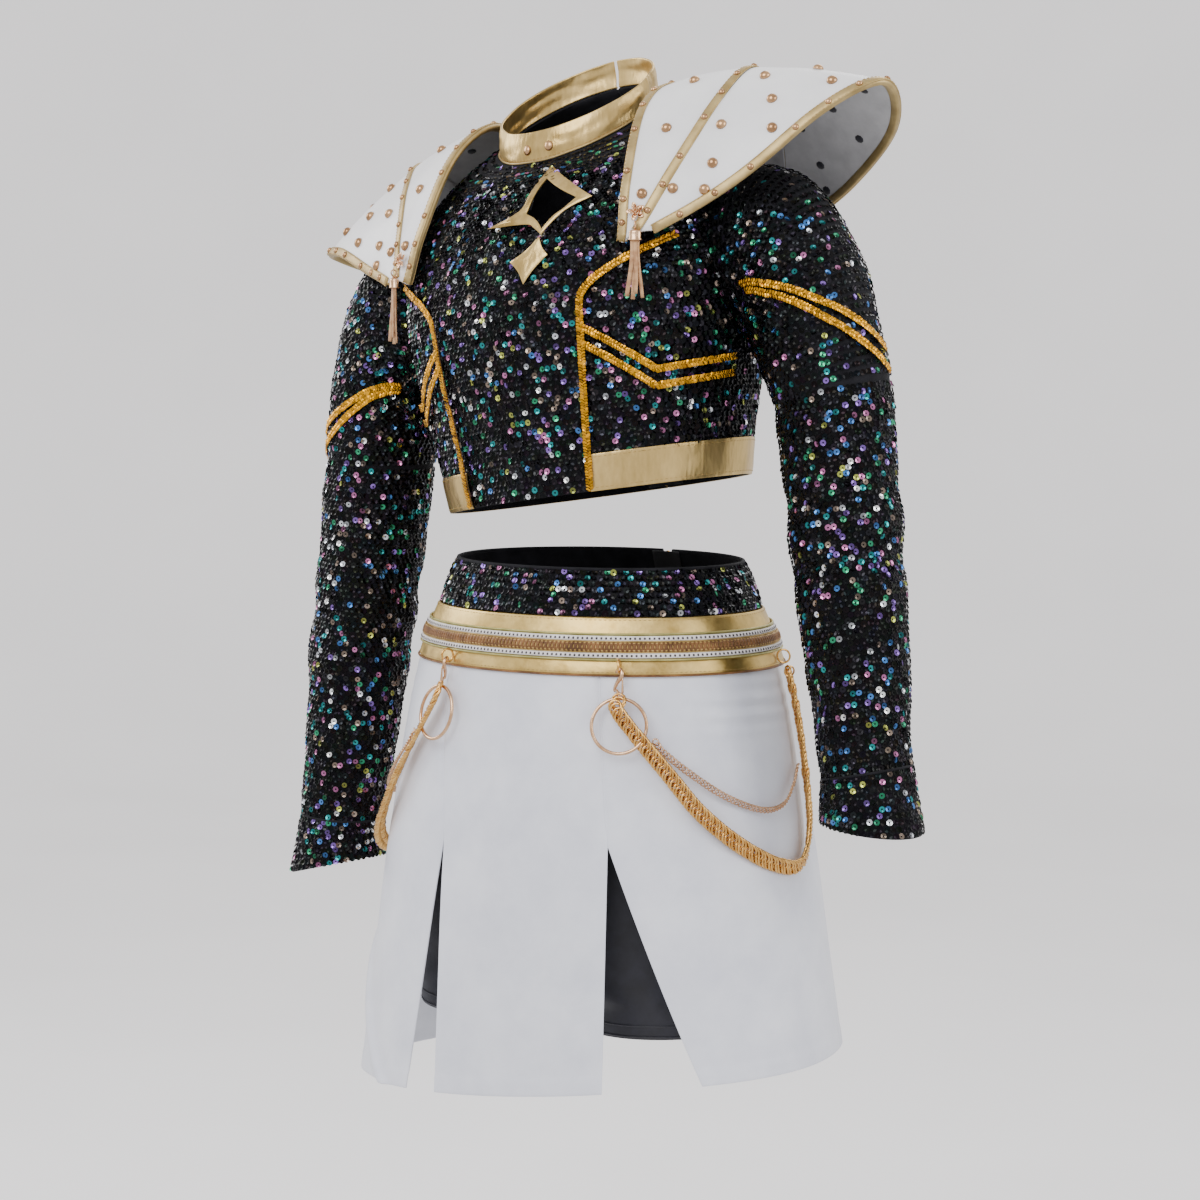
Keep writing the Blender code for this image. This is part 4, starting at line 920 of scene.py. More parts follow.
def star_piece(name, outer, inner, thick=0.0013, cad=()):
    """A flat star of foil leather on the chest: a ring between two outlines, filled in when inner is a point."""
    bm = bmesh.new()
    rings = []
    for share in (0, 0.25, 0.5, 0.75, 1):
        rings.append([bm.verts.new(chest(mix(a[0], b[0], share), mix(a[1], b[1], share),
                                         0.0016 + 0.0007 * math.sin(math.pi * share))) for a, b in zip(outer, inner)])
    for first, second in zip(rings, rings[1:]):
        for k in range(len(first)):
            after = (k + 1) % len(first)
            bm.faces.new((first[k], second[k], second[after], first[after]))
    bmesh.ops.remove_doubles(bm, verts=bm.verts, dist=1e-5)
    bmesh.ops.recalc_face_normals(bm, faces=bm.faces[:])
    if sum(face.normal.y for face in bm.faces) > 0:
        bmesh.ops.reverse_faces(bm, faces=bm.faces[:])
    piece = link(name, bm, foil, "top")
    wall = piece.modifiers.new("wall", "SOLIDIFY")
    wall.thickness, wall.offset = thick, -1.0
    bevel = piece.modifiers.new("edge", "BEVEL")
    bevel.width, bevel.segments, bevel.limit_method = 0.0003, 2, "ANGLE"
    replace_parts(piece, *cad)
    return piece


star_piece("keyhole_frame", chest_outline(FRAME), WINDOW_LINE, cad=("keyhole_frame",))
diamond = chest_outline(DIAMOND)
core = tuple(np.mean(diamond, axis=0).tolist())
star_piece("diamond_applique", diamond, [core] * len(diamond), cad=("diamond_applique",))

# %% [markdown]
# ## Gold sequin braid
#
# The braid is a bought trim: small oval sequins threaded close together on a cord, so that they overlap
# like scales in two slanting rows. It is sewn over the princess seams, in two chevrons on each side front,
# and in two lines round the front of each upper arm.

# %% Braid
SCALE = ([(0, 0, 0.22)] + [(math.cos(t), 0.62 * math.sin(t), 0.0) for t in (math.pi / 3 * i for i in range(6))],
         [[0, 1 + i, 1 + (i + 1) % 6] for i in range(6)])
BRAID_HALF = 0.0026


def braid(name, paths, body, cad):
    """Sews scales in two slanting rows along paths of (spot, outward)."""
    places, tints, bm = [], [], bmesh.new()
    for path in paths:
        spots = [spot for spot, _ in path]
        tube_into(bm, [spot + out * 0.0004 for spot, out in path], BRAID_HALF * 0.8, thick=0.0007, sides=8,
                  up=[out for _, out in path])
        for k, (spot, along) in enumerate(even_path(spots, 0.0011)):
            nearest = min(range(len(spots)), key=lambda i: (spots[i] - spot).length_squared)
            out = path[nearest][1]
            side = along.cross(out).normalized()
            row = 1 if k % 2 else -1
            first = (side * row * 0.8 + along * 0.75 + out * rng.normal(0.22, 0.12)).normalized()
            facing = (out + side * row * rng.normal(0.25, 0.2) + along * rng.normal(0, 0.25)).normalized()
            second = facing.cross(first).normalized()
            facing = first.cross(second)
            middle = spot + side * row * BRAID_HALF * 0.5 + out * (0.0013 + rng.uniform(0, 0.0004))
            size = 0.0021 * rng.uniform(0.9, 1.12)
            places.append(turned(first, second, facing, middle, (size,) * 3))
            tints.append(np.array((1.0, 0.47, 0.01)) * rng.uniform(0.35, 1.1) + rng.uniform(0, 0.01, 3))
    bmesh.ops.recalc_face_normals(bm, faces=bm.faces[:])
    link(f"{name}_cord", bm, braid_brown, body)
    piece = copies(name, SCALE, places, gold_sequin, body, tints)
    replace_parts(piece, *cad)


def on_top(angle, height, out=0.0016):
    """(spot, outward) on the bodice."""
    spot = top_point(angle, height)
    face = [lean(top_point(angle + a, height + b, folds(spot, height) + out)) for a, b in
            ((0, 0), (0.01, 0), (0, 0.002))]
    return face[0], (face[1] - face[0]).cross(face[2] - face[0]).normalized()


def chevron(start, t):
    """A chevron's angle and height: down to the middle of the side front, then level to the armhole."""
    first = princess(start)
    bend = first + math.radians(23)
    if t < 0.5:
        return mix(first, bend, t / 0.5), start - 0.038 * t / 0.5
    return mix(bend, math.radians(80), (t - 0.5) / 0.5), start - 0.038 + 0.004 * (t - 0.5) / 0.5


SLEEVE_BRAID = {  # angle in degrees, level
    "left": ((-14, 0.090), (4, 0.152), (32, 0.222), (56, 0.258), (76, 0.280), (104, 0.305)),
    "right": ((-46, 0.100), (-28, 0.160), (-4, 0.227), (24, 0.270), (64, 0.300), (104, 0.320)),
}
for name, sign in SIDES:
    heights = [mix(TOP_HEM + 0.002, 0.230, k / 90) for k in range(91)]
    seam = [on_top(sign * princess(height), height) for height in heights]
    turns = [[on_top(sign * angle, height) for angle, height in (chevron(start, k / 60) for k in range(61))]
             for start in (0.172, 0.160)]
    braid(f"princess_braid_{name}", [seam, *turns], "top", [f"princess_braid_{name}"])
    for line, shift in (("upper", 0.0), ("lower", 0.022)):
        path = []
        for k in range(61):
            angle = math.radians(mix(SLEEVE_BRAID[name][0][0], SLEEVE_BRAID[name][-1][0], k / 60))
            level = row_at([(math.radians(a), b) for a, b in SLEEVE_BRAID[name]], angle)[0] + shift
            surface = sleeve_surface(name, 0.0014)
            u, v = (angle / (2 * math.pi)) % 1.0, 1 - level
            path.append((surface(u, v), outward(sleeve_surface(name), 0.5 if u in (0, 1) else u, v, sign < 0)))
        braid(f"sleeve_braid_{line}_{name}", [path], "top", [f"sleeve_braid_{line}_{name}"])

# %% [markdown]
# ## Shoulder pads
#
# Each pad is a stiffened wing of white leather over thin foam, in two panels. It is sewn down at the
# shoulder and stands free at its outer edge. Matte gold leather strips bind the inner edge, the outer edge
# and the seam between the panels. Domed studs are pressed through the leather, so their backs show as
# dark discs on the grey underside. The outer panel turns on the seam when the pad is lifted.

# %% Pad curves and panels
PAD_INNER = (
    (0.100, -0.0985, 0.228), (0.094, -0.0890, 0.268), (0.086, -0.050, 0.325), (0.082, 0.0, 0.350),
    (0.086, 0.046, 0.337), (0.094, 0.092, 0.295), (0.104, 0.106, 0.238),
)
PAD_DIVIDER = (
    (0.112, -0.0965, 0.234), (0.128, -0.074, 0.272), (0.148, -0.036, 0.316), (0.160, 0.0, 0.338),
    (0.150, 0.038, 0.318), (0.132, 0.078, 0.280), (0.116, 0.104, 0.240),
)
PAD_OUTER = (
    (0.123, -0.0920, 0.233), (0.172, -0.062, 0.254), (0.226, -0.030, 0.284), (0.262, 0.005, 0.294),
    (0.242, 0.050, 0.272), (0.184, 0.084, 0.252), (0.128, 0.102, 0.238),
)
PAD_TILT = {"left": math.radians(8), "right": math.radians(-6)}
PAD_WALL, PAD_STEPS = 0.0034, 56


def pad_curve(points, name, sign):
    """A smooth pad edge, tilted about the pad's seam at the shoulder."""
    pivot = Vector(PAD_INNER[3])
    turn = Matrix.Rotation(-PAD_TILT[name], 3, "Y")
    curve = []
    for k, spot in enumerate(smooth_path(points, PAD_STEPS)):
        tilted = spot.lerp(pivot + turn @ (spot - pivot), math.sin(math.pi * k / PAD_STEPS))
        curve.append(lean((tilted.x * sign, tilted.y, tilted.z)))
    return curve


def pad_surface(first, last, start, end, bulge=0.0026):
    """point(u, v) across a panel from one edge curve to the other, raised in the middle."""
    def point(u, v):
        k = min(max(v, 0.0), 1.0) * PAD_STEPS
        low = min(int(k), PAD_STEPS - 1)
        a, b = (curve[low].lerp(curve[low + 1], k - low) for curve in (first, last))
        spot = a.lerp(b, mix(start, end, u))
        lift = bulge * math.sin(math.pi * min(max(u, 0.0), 1.0)) * max(math.sin(math.pi * k / PAD_STEPS), 0) ** 0.5
        away = Vector((spot.x * 0.3, spot.y, max(spot.z - 0.15, 0.02))).normalized()
        return spot + away * (lift + 0.0006 * wobble(spot, 24, 7))
    return point


def facing_of(point, u, v, sign):
    """The outer side of a pad at (u, v)."""
    return outward(point, min(max(u, 0.01), 0.99), min(max(v, 0.01), 0.99), sign < 0)


def strip(name, path, body, half=0.0038, cad=None):
    """A flat leather binding: an oval section along (spot, outward), with stitches near its edges."""
    spots = [spot for spot, _ in path]
    ups = [out for _, out in path]
    piece = tube(name, spots, half, binding_gold, body, "white_leather", thick=0.0011, sides=14, up=ups)
    rows = []
    for shift in (-0.78, 0.78):
        row = []
        for spot, along, side, normal in frames(spots, ups):
            row.append((spot + side * half * shift + normal * 0.0008, normal))
        rows.append(row)
    stitches(f"{name}_stitches", rows, thread_gold, body, length=0.0022)
    return piece


def stud_place(spot, out, size, height=0.85):
    side = out.orthogonal().normalized()
    return turned(side, out.cross(side), out, spot, (size, size, size * height))


BACK_DISC = dome_shape(8, 2)
for name, sign in SIDES:
    inner, divider, outer = (pad_curve(points, name, sign) for points in (PAD_INNER, PAD_DIVIDER, PAD_OUTER))
    gap = 0.018
    panels = (("inner", "top", pad_surface(inner, divider, 0.0, 1.0 - gap), (16, PAD_STEPS)),
              ("outer", f"pad_{name}", pad_surface(divider, outer, gap, 1.0), (28, PAD_STEPS)))
    tops, backs = {"top": [], f"pad_{name}": []}, {"top": [], f"pad_{name}": []}
    for part, body, surface, steps in panels:
        pad = cloth(f"pad_{part}_{name}", surface, steps, pad_leather, body, wall=PAD_WALL,
                    flip=sign < 0, rim=0.0010, back=pad_back)
        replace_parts(pad, f"epaulette_{part}_{name}")
        rows = ((0.50, 6, 0.12),) if part == "inner" else ((0.20, 6, 0.12), (0.48, 5, 0.19), (0.76, 6, 0.13))
        for u, count, first in rows:
            for k in range(count):
                v = mix(first, 1 - first, k / (count - 1))
                out = facing_of(surface, u, v, sign)
                tops[body].append(stud_place(surface(u, v) + out * 0.0002, out, 0.0042))
                backs[body].append(stud_place(surface(u, v) - out * (PAD_WALL + 0.0001), -out, 0.0037, 0.22))
    surfaces = {part: surface for part, _, surface, _ in panels}
    bindings = (("inner_edge", "inner", 0.03, "top"), ("divider", "inner", 0.985, "top"),
                ("outer_edge", "outer", 0.985, f"pad_{name}"))
    for strip_name, part, u, body in bindings:
        surface = surfaces[part]
        path = []
        for k in range(PAD_STEPS + 1):
            v = mix(0.004, 0.996, k / PAD_STEPS)
            out = facing_of(surface, u, v, sign)
            path.append((surface(u, v) + out * 0.0006, out))
        strip(f"pad_{strip_name}_{name}", path, body)
        if strip_name == "divider":
            under = [divider[k] - path[k][1] * (PAD_WALL + 0.0008) for k in range(1, PAD_STEPS)]
            tube(f"pad_fold_{name}", under, 0.0042, pad_back, "top", "white_leather", thick=0.0006, sides=10,
                 up=[out for _, out in path[1:-1]])
        else:
            under = [(spot - out * (PAD_WALL + 0.0008), -out) for spot, out in path]
            tube(f"pad_{strip_name}_under_{name}", [spot for spot, _ in under], 0.0030, binding_gold, body,
                 "white_leather", thick=0.0008, sides=10, up=[out for _, out in under])
            edge = surface(0.0 if strip_name == "inner_edge" else 1.0, 0.5)
            side = 0.0 if strip_name == "inner_edge" else 1.0
            rim = []
            for k in range(PAD_STEPS + 1):
                v = mix(0.002, 0.998, k / PAD_STEPS)
                out = facing_of(surface, side, v, sign)
                rim.append(surface(side, v) - out * PAD_WALL / 2)
            tube(f"pad_{strip_name}_rim_{name}", rim, 0.0023, binding_gold, body, "white_leather", sides=12)
        for k in range(13):
            spot, out = path[round(mix(0.05, 0.97, k / 12) * PAD_STEPS)]
            tops[body].append(stud_place(spot + out * 0.0009, out, 0.0026))
    for body in tops:
        label = "inner" if body == "top" else "outer"
        copies(f"pad_studs_{label}_{name}", DOME, tops[body], stud_gold, body, smooth=True)
        copies(f"pad_stud_backs_{label}_{name}", BACK_DISC, backs[body], lining, body, smooth=True)

# %% [markdown]
# ## Roses, jump rings and tassels
#
# A small cast rose covers the tip of each pad, and a tassel hangs from it by a jump ring. The tassel is a
# cap with flat suede strips pressed into it. The strips are cut by hand, so they twist and differ a little.

# %% Roses and tassels


def rose(name, centre, out, body):
    """Petals in three rings round a bud, each a small curved sheet."""
    side = out.cross(Vector((0, 0, 1))).normalized()
    up = side.cross(out)
    bm = bmesh.new()
    for ring, (count, reach, lift, width) in enumerate(((5, 0.0074, 0.0004, 1.25), (5, 0.0056, 0.0018, 1.3),
                                                        (4, 0.0036, 0.0032, 1.5), (3, 0.0018, 0.0040, 1.9))):
        for petal in range(count):
            middle = 2 * math.pi * (petal + 0.5 * (ring % 2)) / count + ring * 0.4
            grid = []
            for i in range(6):
                row = []
                for j in range(5):
                    spread = (j / 4 - 0.5) * width * 2.4 / count * math.sin(math.pi * (0.15 + 0.75 * i / 5))
                    radius = reach * (0.12 + 0.88 * i / 5) * (1 - 0.10 * (abs(j - 2) / 2) ** 2)
                    turn = middle + spread * 1.6
                    height = lift + 0.0022 * (i / 5) ** 2 - 0.0014 * (i / 5) ** 6 + 0.0004 * abs(j - 2) / 2
                    spot = side * radius * math.cos(turn) + up * radius * math.sin(turn) + out * height
                    row.append(bm.verts.new(centre + spot))
                grid.append(row)
            for a, b in zip(grid, grid[1:]):
                for j in range(4):
                    bm.faces.new((a[j], a[j + 1], b[j + 1], b[j]))
    piece = link(name, bm, rose_gold, body)
    wall = piece.modifiers.new("wall", "SOLIDIFY")
    wall.thickness, wall.offset = 0.0005, 0
    smooth = piece.modifiers.new("smooth", "SUBSURF")
    smooth.levels = smooth.render_levels = 1
    return piece


def ring_path(centre, first, second, radius, count, start=0.0, share=1.0):
    return [centre + radius * (first * math.cos(t) + second * math.sin(t))
            for t in (start + 2 * math.pi * share * k / count for k in range(count))]


for name, sign in SIDES:
    low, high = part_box(f"rose_{name}")
    facing = Vector((sign * 0.42, -0.88, 0.22)).normalized()
    centre = (low + high) / 2 - facing * 0.0025
    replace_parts(rose(f"rose_{name}", centre, facing, "top"), f"rose_{name}")
    low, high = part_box(f"jump_ring_{name}")
    ring_centre = (low + high) / 2
    ring = ring_path(ring_centre, Vector((0, 0, 1)), facing, (high.z - low.z) / 2 - 0.0006, 28)
    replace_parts(tube(f"jump_ring_{name}", ring, 0.00055, rose_gold, "top", "rose_gold", closed=True), f"jump_ring_{name}")
    low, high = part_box(f"tassel_{name}")
    body, top_z = f"tassel_{name}", high.z
    middle = Vector(((low.x + high.x) / 2, (low.y + high.y) / 2, top_z))
    side = facing.cross(Vector((0, 0, 1))).normalized()
    front = Vector((facing.x, facing.y, 0)).normalized()
    steps = [0, 0.0004, 0.0014, 0.0024, 0.0066, 0.0072, 0.0080, 0.0081]
    widths = dict(zip(steps, (0.15, 0.62, 0.95, 1.0, 1.0, 1.12, 1.12, 0.9)))
    cap = [middle - Vector((0, 0, drop)) for drop in steps]
    tube(f"tassel_cap_{name}", cap, 0.0046, rose_gold, body, "rose_gold", thick=0.0033, sides=20, up=front,
         profile=lambda t: list(widths.values())[min(round(t * 7), 7)])
    bm = bmesh.new()
    strands = ((-0.0034, 0.0004, 0.043, -0.5), (-0.0012, 0.0014, 0.039, 0.25), (0.0012, -0.0006, 0.044, 0.05),
               (0.0034, 0.0008, 0.042, 0.55), (0.0002, -0.0014, 0.040, -0.15))
    for k, (shift, forward, length, splay) in enumerate(strands):
        path, ups = [], []
        for i in range(15):
            t = i / 14
            sway = side * (shift * (0.5 + 0.5 * t) + splay * 0.0035 * t * t + 0.0005 * math.sin(5 * t + k))
            path.append(middle - Vector((0, 0, 0.0070 + length * t)) + sway + front * forward * (0.6 + 0.6 * t))
            ups.append((front + side * 0.7 * math.sin(1.3 * k + 1.5 * t) * t).normalized())
        tube_into(bm, path, 0.0017, thick=0.00055, sides=8, up=ups)
    bmesh.ops.recalc_face_normals(bm, faces=bm.faces[:])
    tassel = link(f"tassel_{name}", bm, suede, body)
    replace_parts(tassel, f"tassel_{name}")

# %% [markdown]
# ## Waist band and belt
#
# The skirt starts with a soft sequin waist band. Under it sits the belt: a foil leather band that carries
# a woven trim. The trim has an olive gold ground, a corded edge, a white ladder tape above and below with
# small near-black beads set in its holes as painted shade, and brown and gold cords that cross over each
# other in the middle. Everything stops at the zip behind.

# %% Waist band
OPEN_BACK = math.pi - 0.040
BELT_PROUD = 0.0018
TRIM_MIDDLE = (BAND_BOTTOM + BELT_BOTTOM) / 2


def waist(u, v, out=0.0):
    height = mix(BAND_BOTTOM + 0.0005, 0.0, v)
    angle = mix(-OPEN_BACK, OPEN_BACK, u)
    spot = skirt_point(angle, height)
    roll = 0.0012 * math.sin(math.pi * v) + 0.0008 * wobble((spot.x, spot.y, height * 0.6), 30, 8)
    return skirt_point(angle, height, out + roll - 0.0006)


piece = cloth("waist_band", waist, (150, 12), knit, "skirt", wall=0.0016, rim=0.0006)
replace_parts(piece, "waist_band")
sequins("waist_sequins", lambda u, v: waist(u, v, 0.0002), "skirt")
tube("waist_edge", [waist(k / 150, 1.0, 0.0002) for k in range(151)], 0.0014, knit, "skirt", "black_sequin", sides=8)

# %% Belt


def belt(u, v, out=0.0):
    height = mix(BELT_BOTTOM + 0.0005, BAND_BOTTOM, v)
    return skirt_point(mix(-OPEN_BACK, OPEN_BACK, u), height, BELT_PROUD + out)


def belt_face(u, v):
    spot = belt(u, v)
    edge = 0.0005 * (abs(2 * v - 1) ** 8)
    return belt(u, v, 0.0002 - edge + 0.5 * creased(spot, 0.0005, 4))


piece = cloth("belt", belt_face, (190, 20), belt_foil, "skirt", wall=0.0016, rim=0.0005)
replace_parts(piece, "belt")
edge_stitches("belt_stitches", belt_face, (0.045, 0.955), thread_gold, "skirt", steps=160)


def belt_line(drop, out):
    """(spot, outward) round the belt at a distance below the trim's middle."""
    path = []
    for k in range(221):
        angle = mix(-OPEN_BACK, OPEN_BACK, k / 220)
        spot = skirt_point(angle, TRIM_MIDDLE - drop, BELT_PROUD + out)
        ahead = skirt_point(angle + 0.01, TRIM_MIDDLE - drop, BELT_PROUD + out)
        below = skirt_point(angle, TRIM_MIDDLE - drop - 0.002, BELT_PROUD + out)
        path.append((spot, (ahead - spot).cross(spot - below).normalized()))
    return path


olive = finish("olive_gold_ground", (0.34, 0.30, 0.09), (0.56, 0.50, 0.20), 0.42, 0.5, effect=weave_group,
               inputs={"Threads": 700.0}, bump=0.5, depth=0.0005)
ladder_white = finish("ladder_tape", (0.72, 0.68, 0.66), (0.86, 0.84, 0.83), 0.5, effect=weave_group,
                      inputs={"Threads": 1200.0}, bump=0.3, depth=0.0003)
# Painted shade: near-black glossy beads stand in the ladder tape's holes for the shadow inside them.
painted_hole_shade = finish("painted_hole_shade", (0.02, 0.014, 0.02), (0.05, 0.03, 0.04), 0.15, 0.2, bump=0.02, Coat_Weight=0.6)


def band_tube(name, drop, out, half, thick, material, sides=10):
    path = belt_line(drop, out)
    return tube(name, [spot for spot, _ in path], half, material, "skirt", "belt_trim", thick=thick, sides=sides,
                up=[outer for _, outer in path])


ground = band_tube("trim_ground", 0.0, 0.0012, 0.0094, 0.0009, olive, 14)
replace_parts(ground, "belt_trim")
for row, drop in (("upper", -0.0062), ("lower", 0.0062)):
    band_tube(f"trim_ladder_{row}", drop, 0.0022, 0.0019, 0.0006, ladder_white, 12)
    band_tube(f"trim_edge_{row}", drop * 1.50, 0.0020, 0.0008, 0.0008, olive, 8)
    band_tube(f"trim_line_{row}", drop * 0.62, 0.0022, 0.0005, 0.0005, thread_gold, 6)
    path = belt_line(drop, 0.0027)
    spots = [spot for spot, _ in path]
    dark, pale = [], []
    for k, (spot, along) in enumerate(even_path(spots, 0.0018)):
        out = min(path, key=lambda pair: (pair[0] - spot).length_squared)[1]
        up = out.cross(along)
        # Odd steps: painted shade, a dark bead in each hole between the rungs; even steps: a pale rung.
        if k % 2:
            dark.append(turned(along, up, out, spot, (0.0010, 0.0011, 0.0007)))
        else:
            pale.append(turned(along, up, out, spot, (0.00055, 0.0019, 0.0005)))
    copies(f"trim_beads_{row}", ball(8, 5), dark, painted_hole_shade, "skirt", smooth=True)
    copies(f"trim_bars_{row}", ball(6, 4), pale, ladder_white, "skirt", smooth=True)
middle_line = belt_line(0.0, 0.0026)
spine = even_path([spot for spot, _ in middle_line], 0.0008)
for phase, (material, size) in enumerate(((braid_brown, 0.00115), (thread_gold, 0.00080)) * 2):
    cord = []
    for k, (spot, along) in enumerate(spine):
        out = middle_line[min(round(k / len(spine) * 220), 220)][1]
        turn = 2 * math.pi * k * 0.0008 / 0.0068 + phase * math.pi / 2
        over = 0.0004 * math.cos(2 * turn) * (-1) ** phase
        cord.append(spot + out.cross(along) * 0.0031 * math.sin(turn) + out * over)
    tube(f"trim_cord_{phase}", cord, size, material, "skirt", "belt_trim", sides=6)
tube("belt_piping", [belt(k / 200, -0.01, 0.0002) for k in range(201)], 0.0008, braid_brown, "skirt",
     "gold_foil_leather", sides=8)
print("belt cords:", len(spine), "points each")

# %% [markdown]
# ## Satin skirt
#
# The skirt is cut as a front panel, two side panels and two back panels in a firm satin. Below the slits
# the panels hang free. The front panel stays nearly flat, the sides flare into soft flutes, and the satin
# creases lightly where it turns over the hip. On the real skirt the front panel bends when the flap is
# lifted; here it is one piece of cloth over the yoke and the flap, left in place on no body.

# %% Skirt panels
SLIT_TOP = -0.206
DEGREE = math.pi / 180


def edge_angle(height, top, slit, hem):
    """A front edge: a seam from the belt down to the slit's top, then free to the hem."""
    if height > SLIT_TOP:
        return mix(slit, top, (height - SLIT_TOP) / (BELT_BOTTOM - SLIT_TOP)) * DEGREE
    return mix(hem, slit, (height - SKIRT_HEM) / (SLIT_TOP - SKIRT_HEM)) * DEGREE


def drape(angle, height):
    """How far the satin stands out from the pattern: flutes, hip creases and one long turned fold."""
    share = min(max((BELT_BOTTOM - height) / (BELT_BOTTOM - SKIRT_HEM), 0), 1)
    sides = ease((abs(angle) / DEGREE - 20) / 30)
    flutes = 0.0036 * share**1.5 * math.sin(5.0 * angle + 0.9 + 0.8 * share) * (0.12 + 0.88 * sides)
    hip = math.exp(-((abs(angle) / DEGREE - 84) / 20) ** 2) * math.exp(-(((height + 0.104) / 0.020) ** 2))
    creases = 0.0011 * hip * math.sin(height * 480 + 3 * angle)
    under_chain = 0.0022 * math.exp(-((abs(angle) / DEGREE - 84) / 16) ** 2 - ((height + 0.225) / 0.035) ** 2)
    fold = 0.0
    if angle < 0 and height < -0.255:
        turn = -(34 + 44 * ((height - SKIRT_HEM) / 0.135) ** 0.8) * DEGREE
        near = (angle - turn) * 0.18
        fold = 0.0042 * math.exp(-((near / 0.010) ** 2)) * ease((-0.255 - height) / 0.06)
    soft = 0.0009 * wobble((math.sin(angle), math.cos(angle), height * 3), 2.6, 9) * share
    return flutes * 0.9 + creases + under_chain + fold + soft + 0.0002


def satin_panel(name, first, last, low, high, steps, cad, blend=None, body="skirt"):
    """One hung panel of satin, with a dipped seam at each sewn edge."""
    def point(u, v):
        height = mix(low, high, v)
        a, b = first(height), last(height)
        angle = mix(a, b, u)
        width = abs(b - a) * 0.16
        to_edge = min(u, 1 - u) * width
        sewn = ease((height - SLIT_TOP) / 0.02) if height > SLIT_TOP else 0.0
        dip = -0.0009 * math.exp(-((to_edge / 0.0022) ** 2)) * sewn
        roll = 0.0004 * ease((0.014 - (height - SKIRT_HEM)) / 0.003) if low == SKIRT_HEM else 0.0
        return skirt_point(angle, height, drape(angle, height) + dip + roll)

    bm = bmesh.new()
    bmesh.ops.create_grid(bm, x_segments=steps[0], y_segments=steps[1], size=0.5)
    for vert in bm.verts:
        vert.co = point(vert.co.x + 0.5, vert.co.y + 0.5)
    area = sum(face.calc_area() for face in bm.faces)
    across = [sum((point((k + 1) / 40, v) - point(k / 40, v)).length for k in range(40)) for v in (0, 0.5, 1)]
    down = [sum((point(u, (k + 1) / 40) - point(u, k / 40)).length for k in range(40)) for u in (0, 0.5, 1)]
    piece = link(name, bm, satin, body, blend=blend)
    wall = piece.modifiers.new("wall", "SOLIDIFY")
    wall.thickness, wall.offset = 0.0012, -1.0
    edge = piece.modifiers.new("edge", "BEVEL")
    edge.width, edge.segments, edge.limit_method = 0.00035, 2, "ANGLE"
    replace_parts(piece, *cad)
    return piece


GAP = 0.0012
satin_panel("front_satin", lambda z: edge_angle(z, -26, -16, -12) + GAP, lambda z: edge_angle(z, 29, 32, 30) - GAP,
            SKIRT_HEM, BELT_BOTTOM - 0.0004, (64, 120), ("skirt_front_yoke", "skirt_front_flap"),
            blend=("skirt", "front_flap", (0, -0.1441, -0.192), (0, -0.1441, -0.222)))
satin_panel("side_satin_left", lambda z: edge_angle(z, 29, 32, 53) + GAP, lambda z: 112 * DEGREE - GAP, SKIRT_HEM,
            BELT_BOTTOM - 0.0004, (80, 120), ("skirt_side_left",))
satin_panel("side_satin_right", lambda z: -112 * DEGREE + GAP, lambda z: edge_angle(z, -26, -16, -22) - GAP,
            SKIRT_HEM, BELT_BOTTOM - 0.0004, (80, 120), ("skirt_side_right",))
satin_panel("back_satin_left", lambda z: 112 * DEGREE + GAP, lambda z: math.pi - 0.004, SKIRT_HEM,
            BELT_BOTTOM - 0.0004, (70, 110), ("skirt_back_left",))
satin_panel("back_satin_right", lambda z: 0.004 - math.pi, lambda z: -112 * DEGREE - GAP, SKIRT_HEM,
            BELT_BOTTOM - 0.0004, (70, 110), ("skirt_back_right",))
seams = ((lambda z: edge_angle(z, -26, -16, -12), SLIT_TOP), (lambda z: edge_angle(z, 29, 32, 30), SLIT_TOP),
         (lambda z: 112 * DEGREE, SKIRT_HEM + 0.001), (lambda z: -112 * DEGREE, SKIRT_HEM + 0.001))
for k, (place, low) in enumerate(seams):
    heights = [mix(BELT_BOTTOM - 0.001, low, i / 60) for i in range(61)]
    line = [skirt_point(place(h), h, drape(place(h), h) - 0.0014) for h in heights]
    tube(f"skirt_seam_{k}", line, 0.0010, satin, "skirt", "white_satin", sides=8)

# %% [markdown]
# ## Shorts
#
# Black stretch shorts are sewn into the belt under the skirt. They show only through the slits. Each half
# is a smooth tube: the half of the hips above the crotch becomes a leg below it. The leg ends are hemmed.

# %% Shorts halves
HIP_ROWS = ((-0.086, 0.138, 0.108), (-0.150, 0.149, 0.117), (-0.240, 0.151, 0.120), (-0.3135, 0.149, 0.116))
LEG_ROWS = ((-0.250, 0.0710, 0.098), (-0.3135, 0.0715, 0.096), (-0.352, 0.0712, 0.092))
CROTCH, LEG_END, LEG_CENTRE = -0.3135, -0.352, 0.0765


def shorts_half(sign):
    def point(u, v):
        height = mix(LEG_END, -0.086, v)
        turn = 2 * math.pi * u
        wide, deep = row_at(HIP_ROWS, max(height, CROTCH))
        x, y = math.sin(turn), -math.cos(turn)
        hip = Vector((max(wide * x, 0.0006), deep * y * (1 if x > 0 else 0.985), height))
        if x <= 0:
            hip.y = deep * y
            hip.x = 0.0006
        leg_wide, leg_deep = row_at(LEG_ROWS, min(height, -0.250))
        leg = Vector((LEG_CENTRE + leg_wide * x, leg_deep * y, height))
        spot = hip.lerp(leg, ease((CROTCH + 0.012 - height) / 0.030))
        ripple = 0.0006 * wobble((spot.x, spot.y, height * 2), 34, 11)
        return Vector((sign * spot.x, spot.y * (1 + ripple / 0.1), spot.z))
    return point


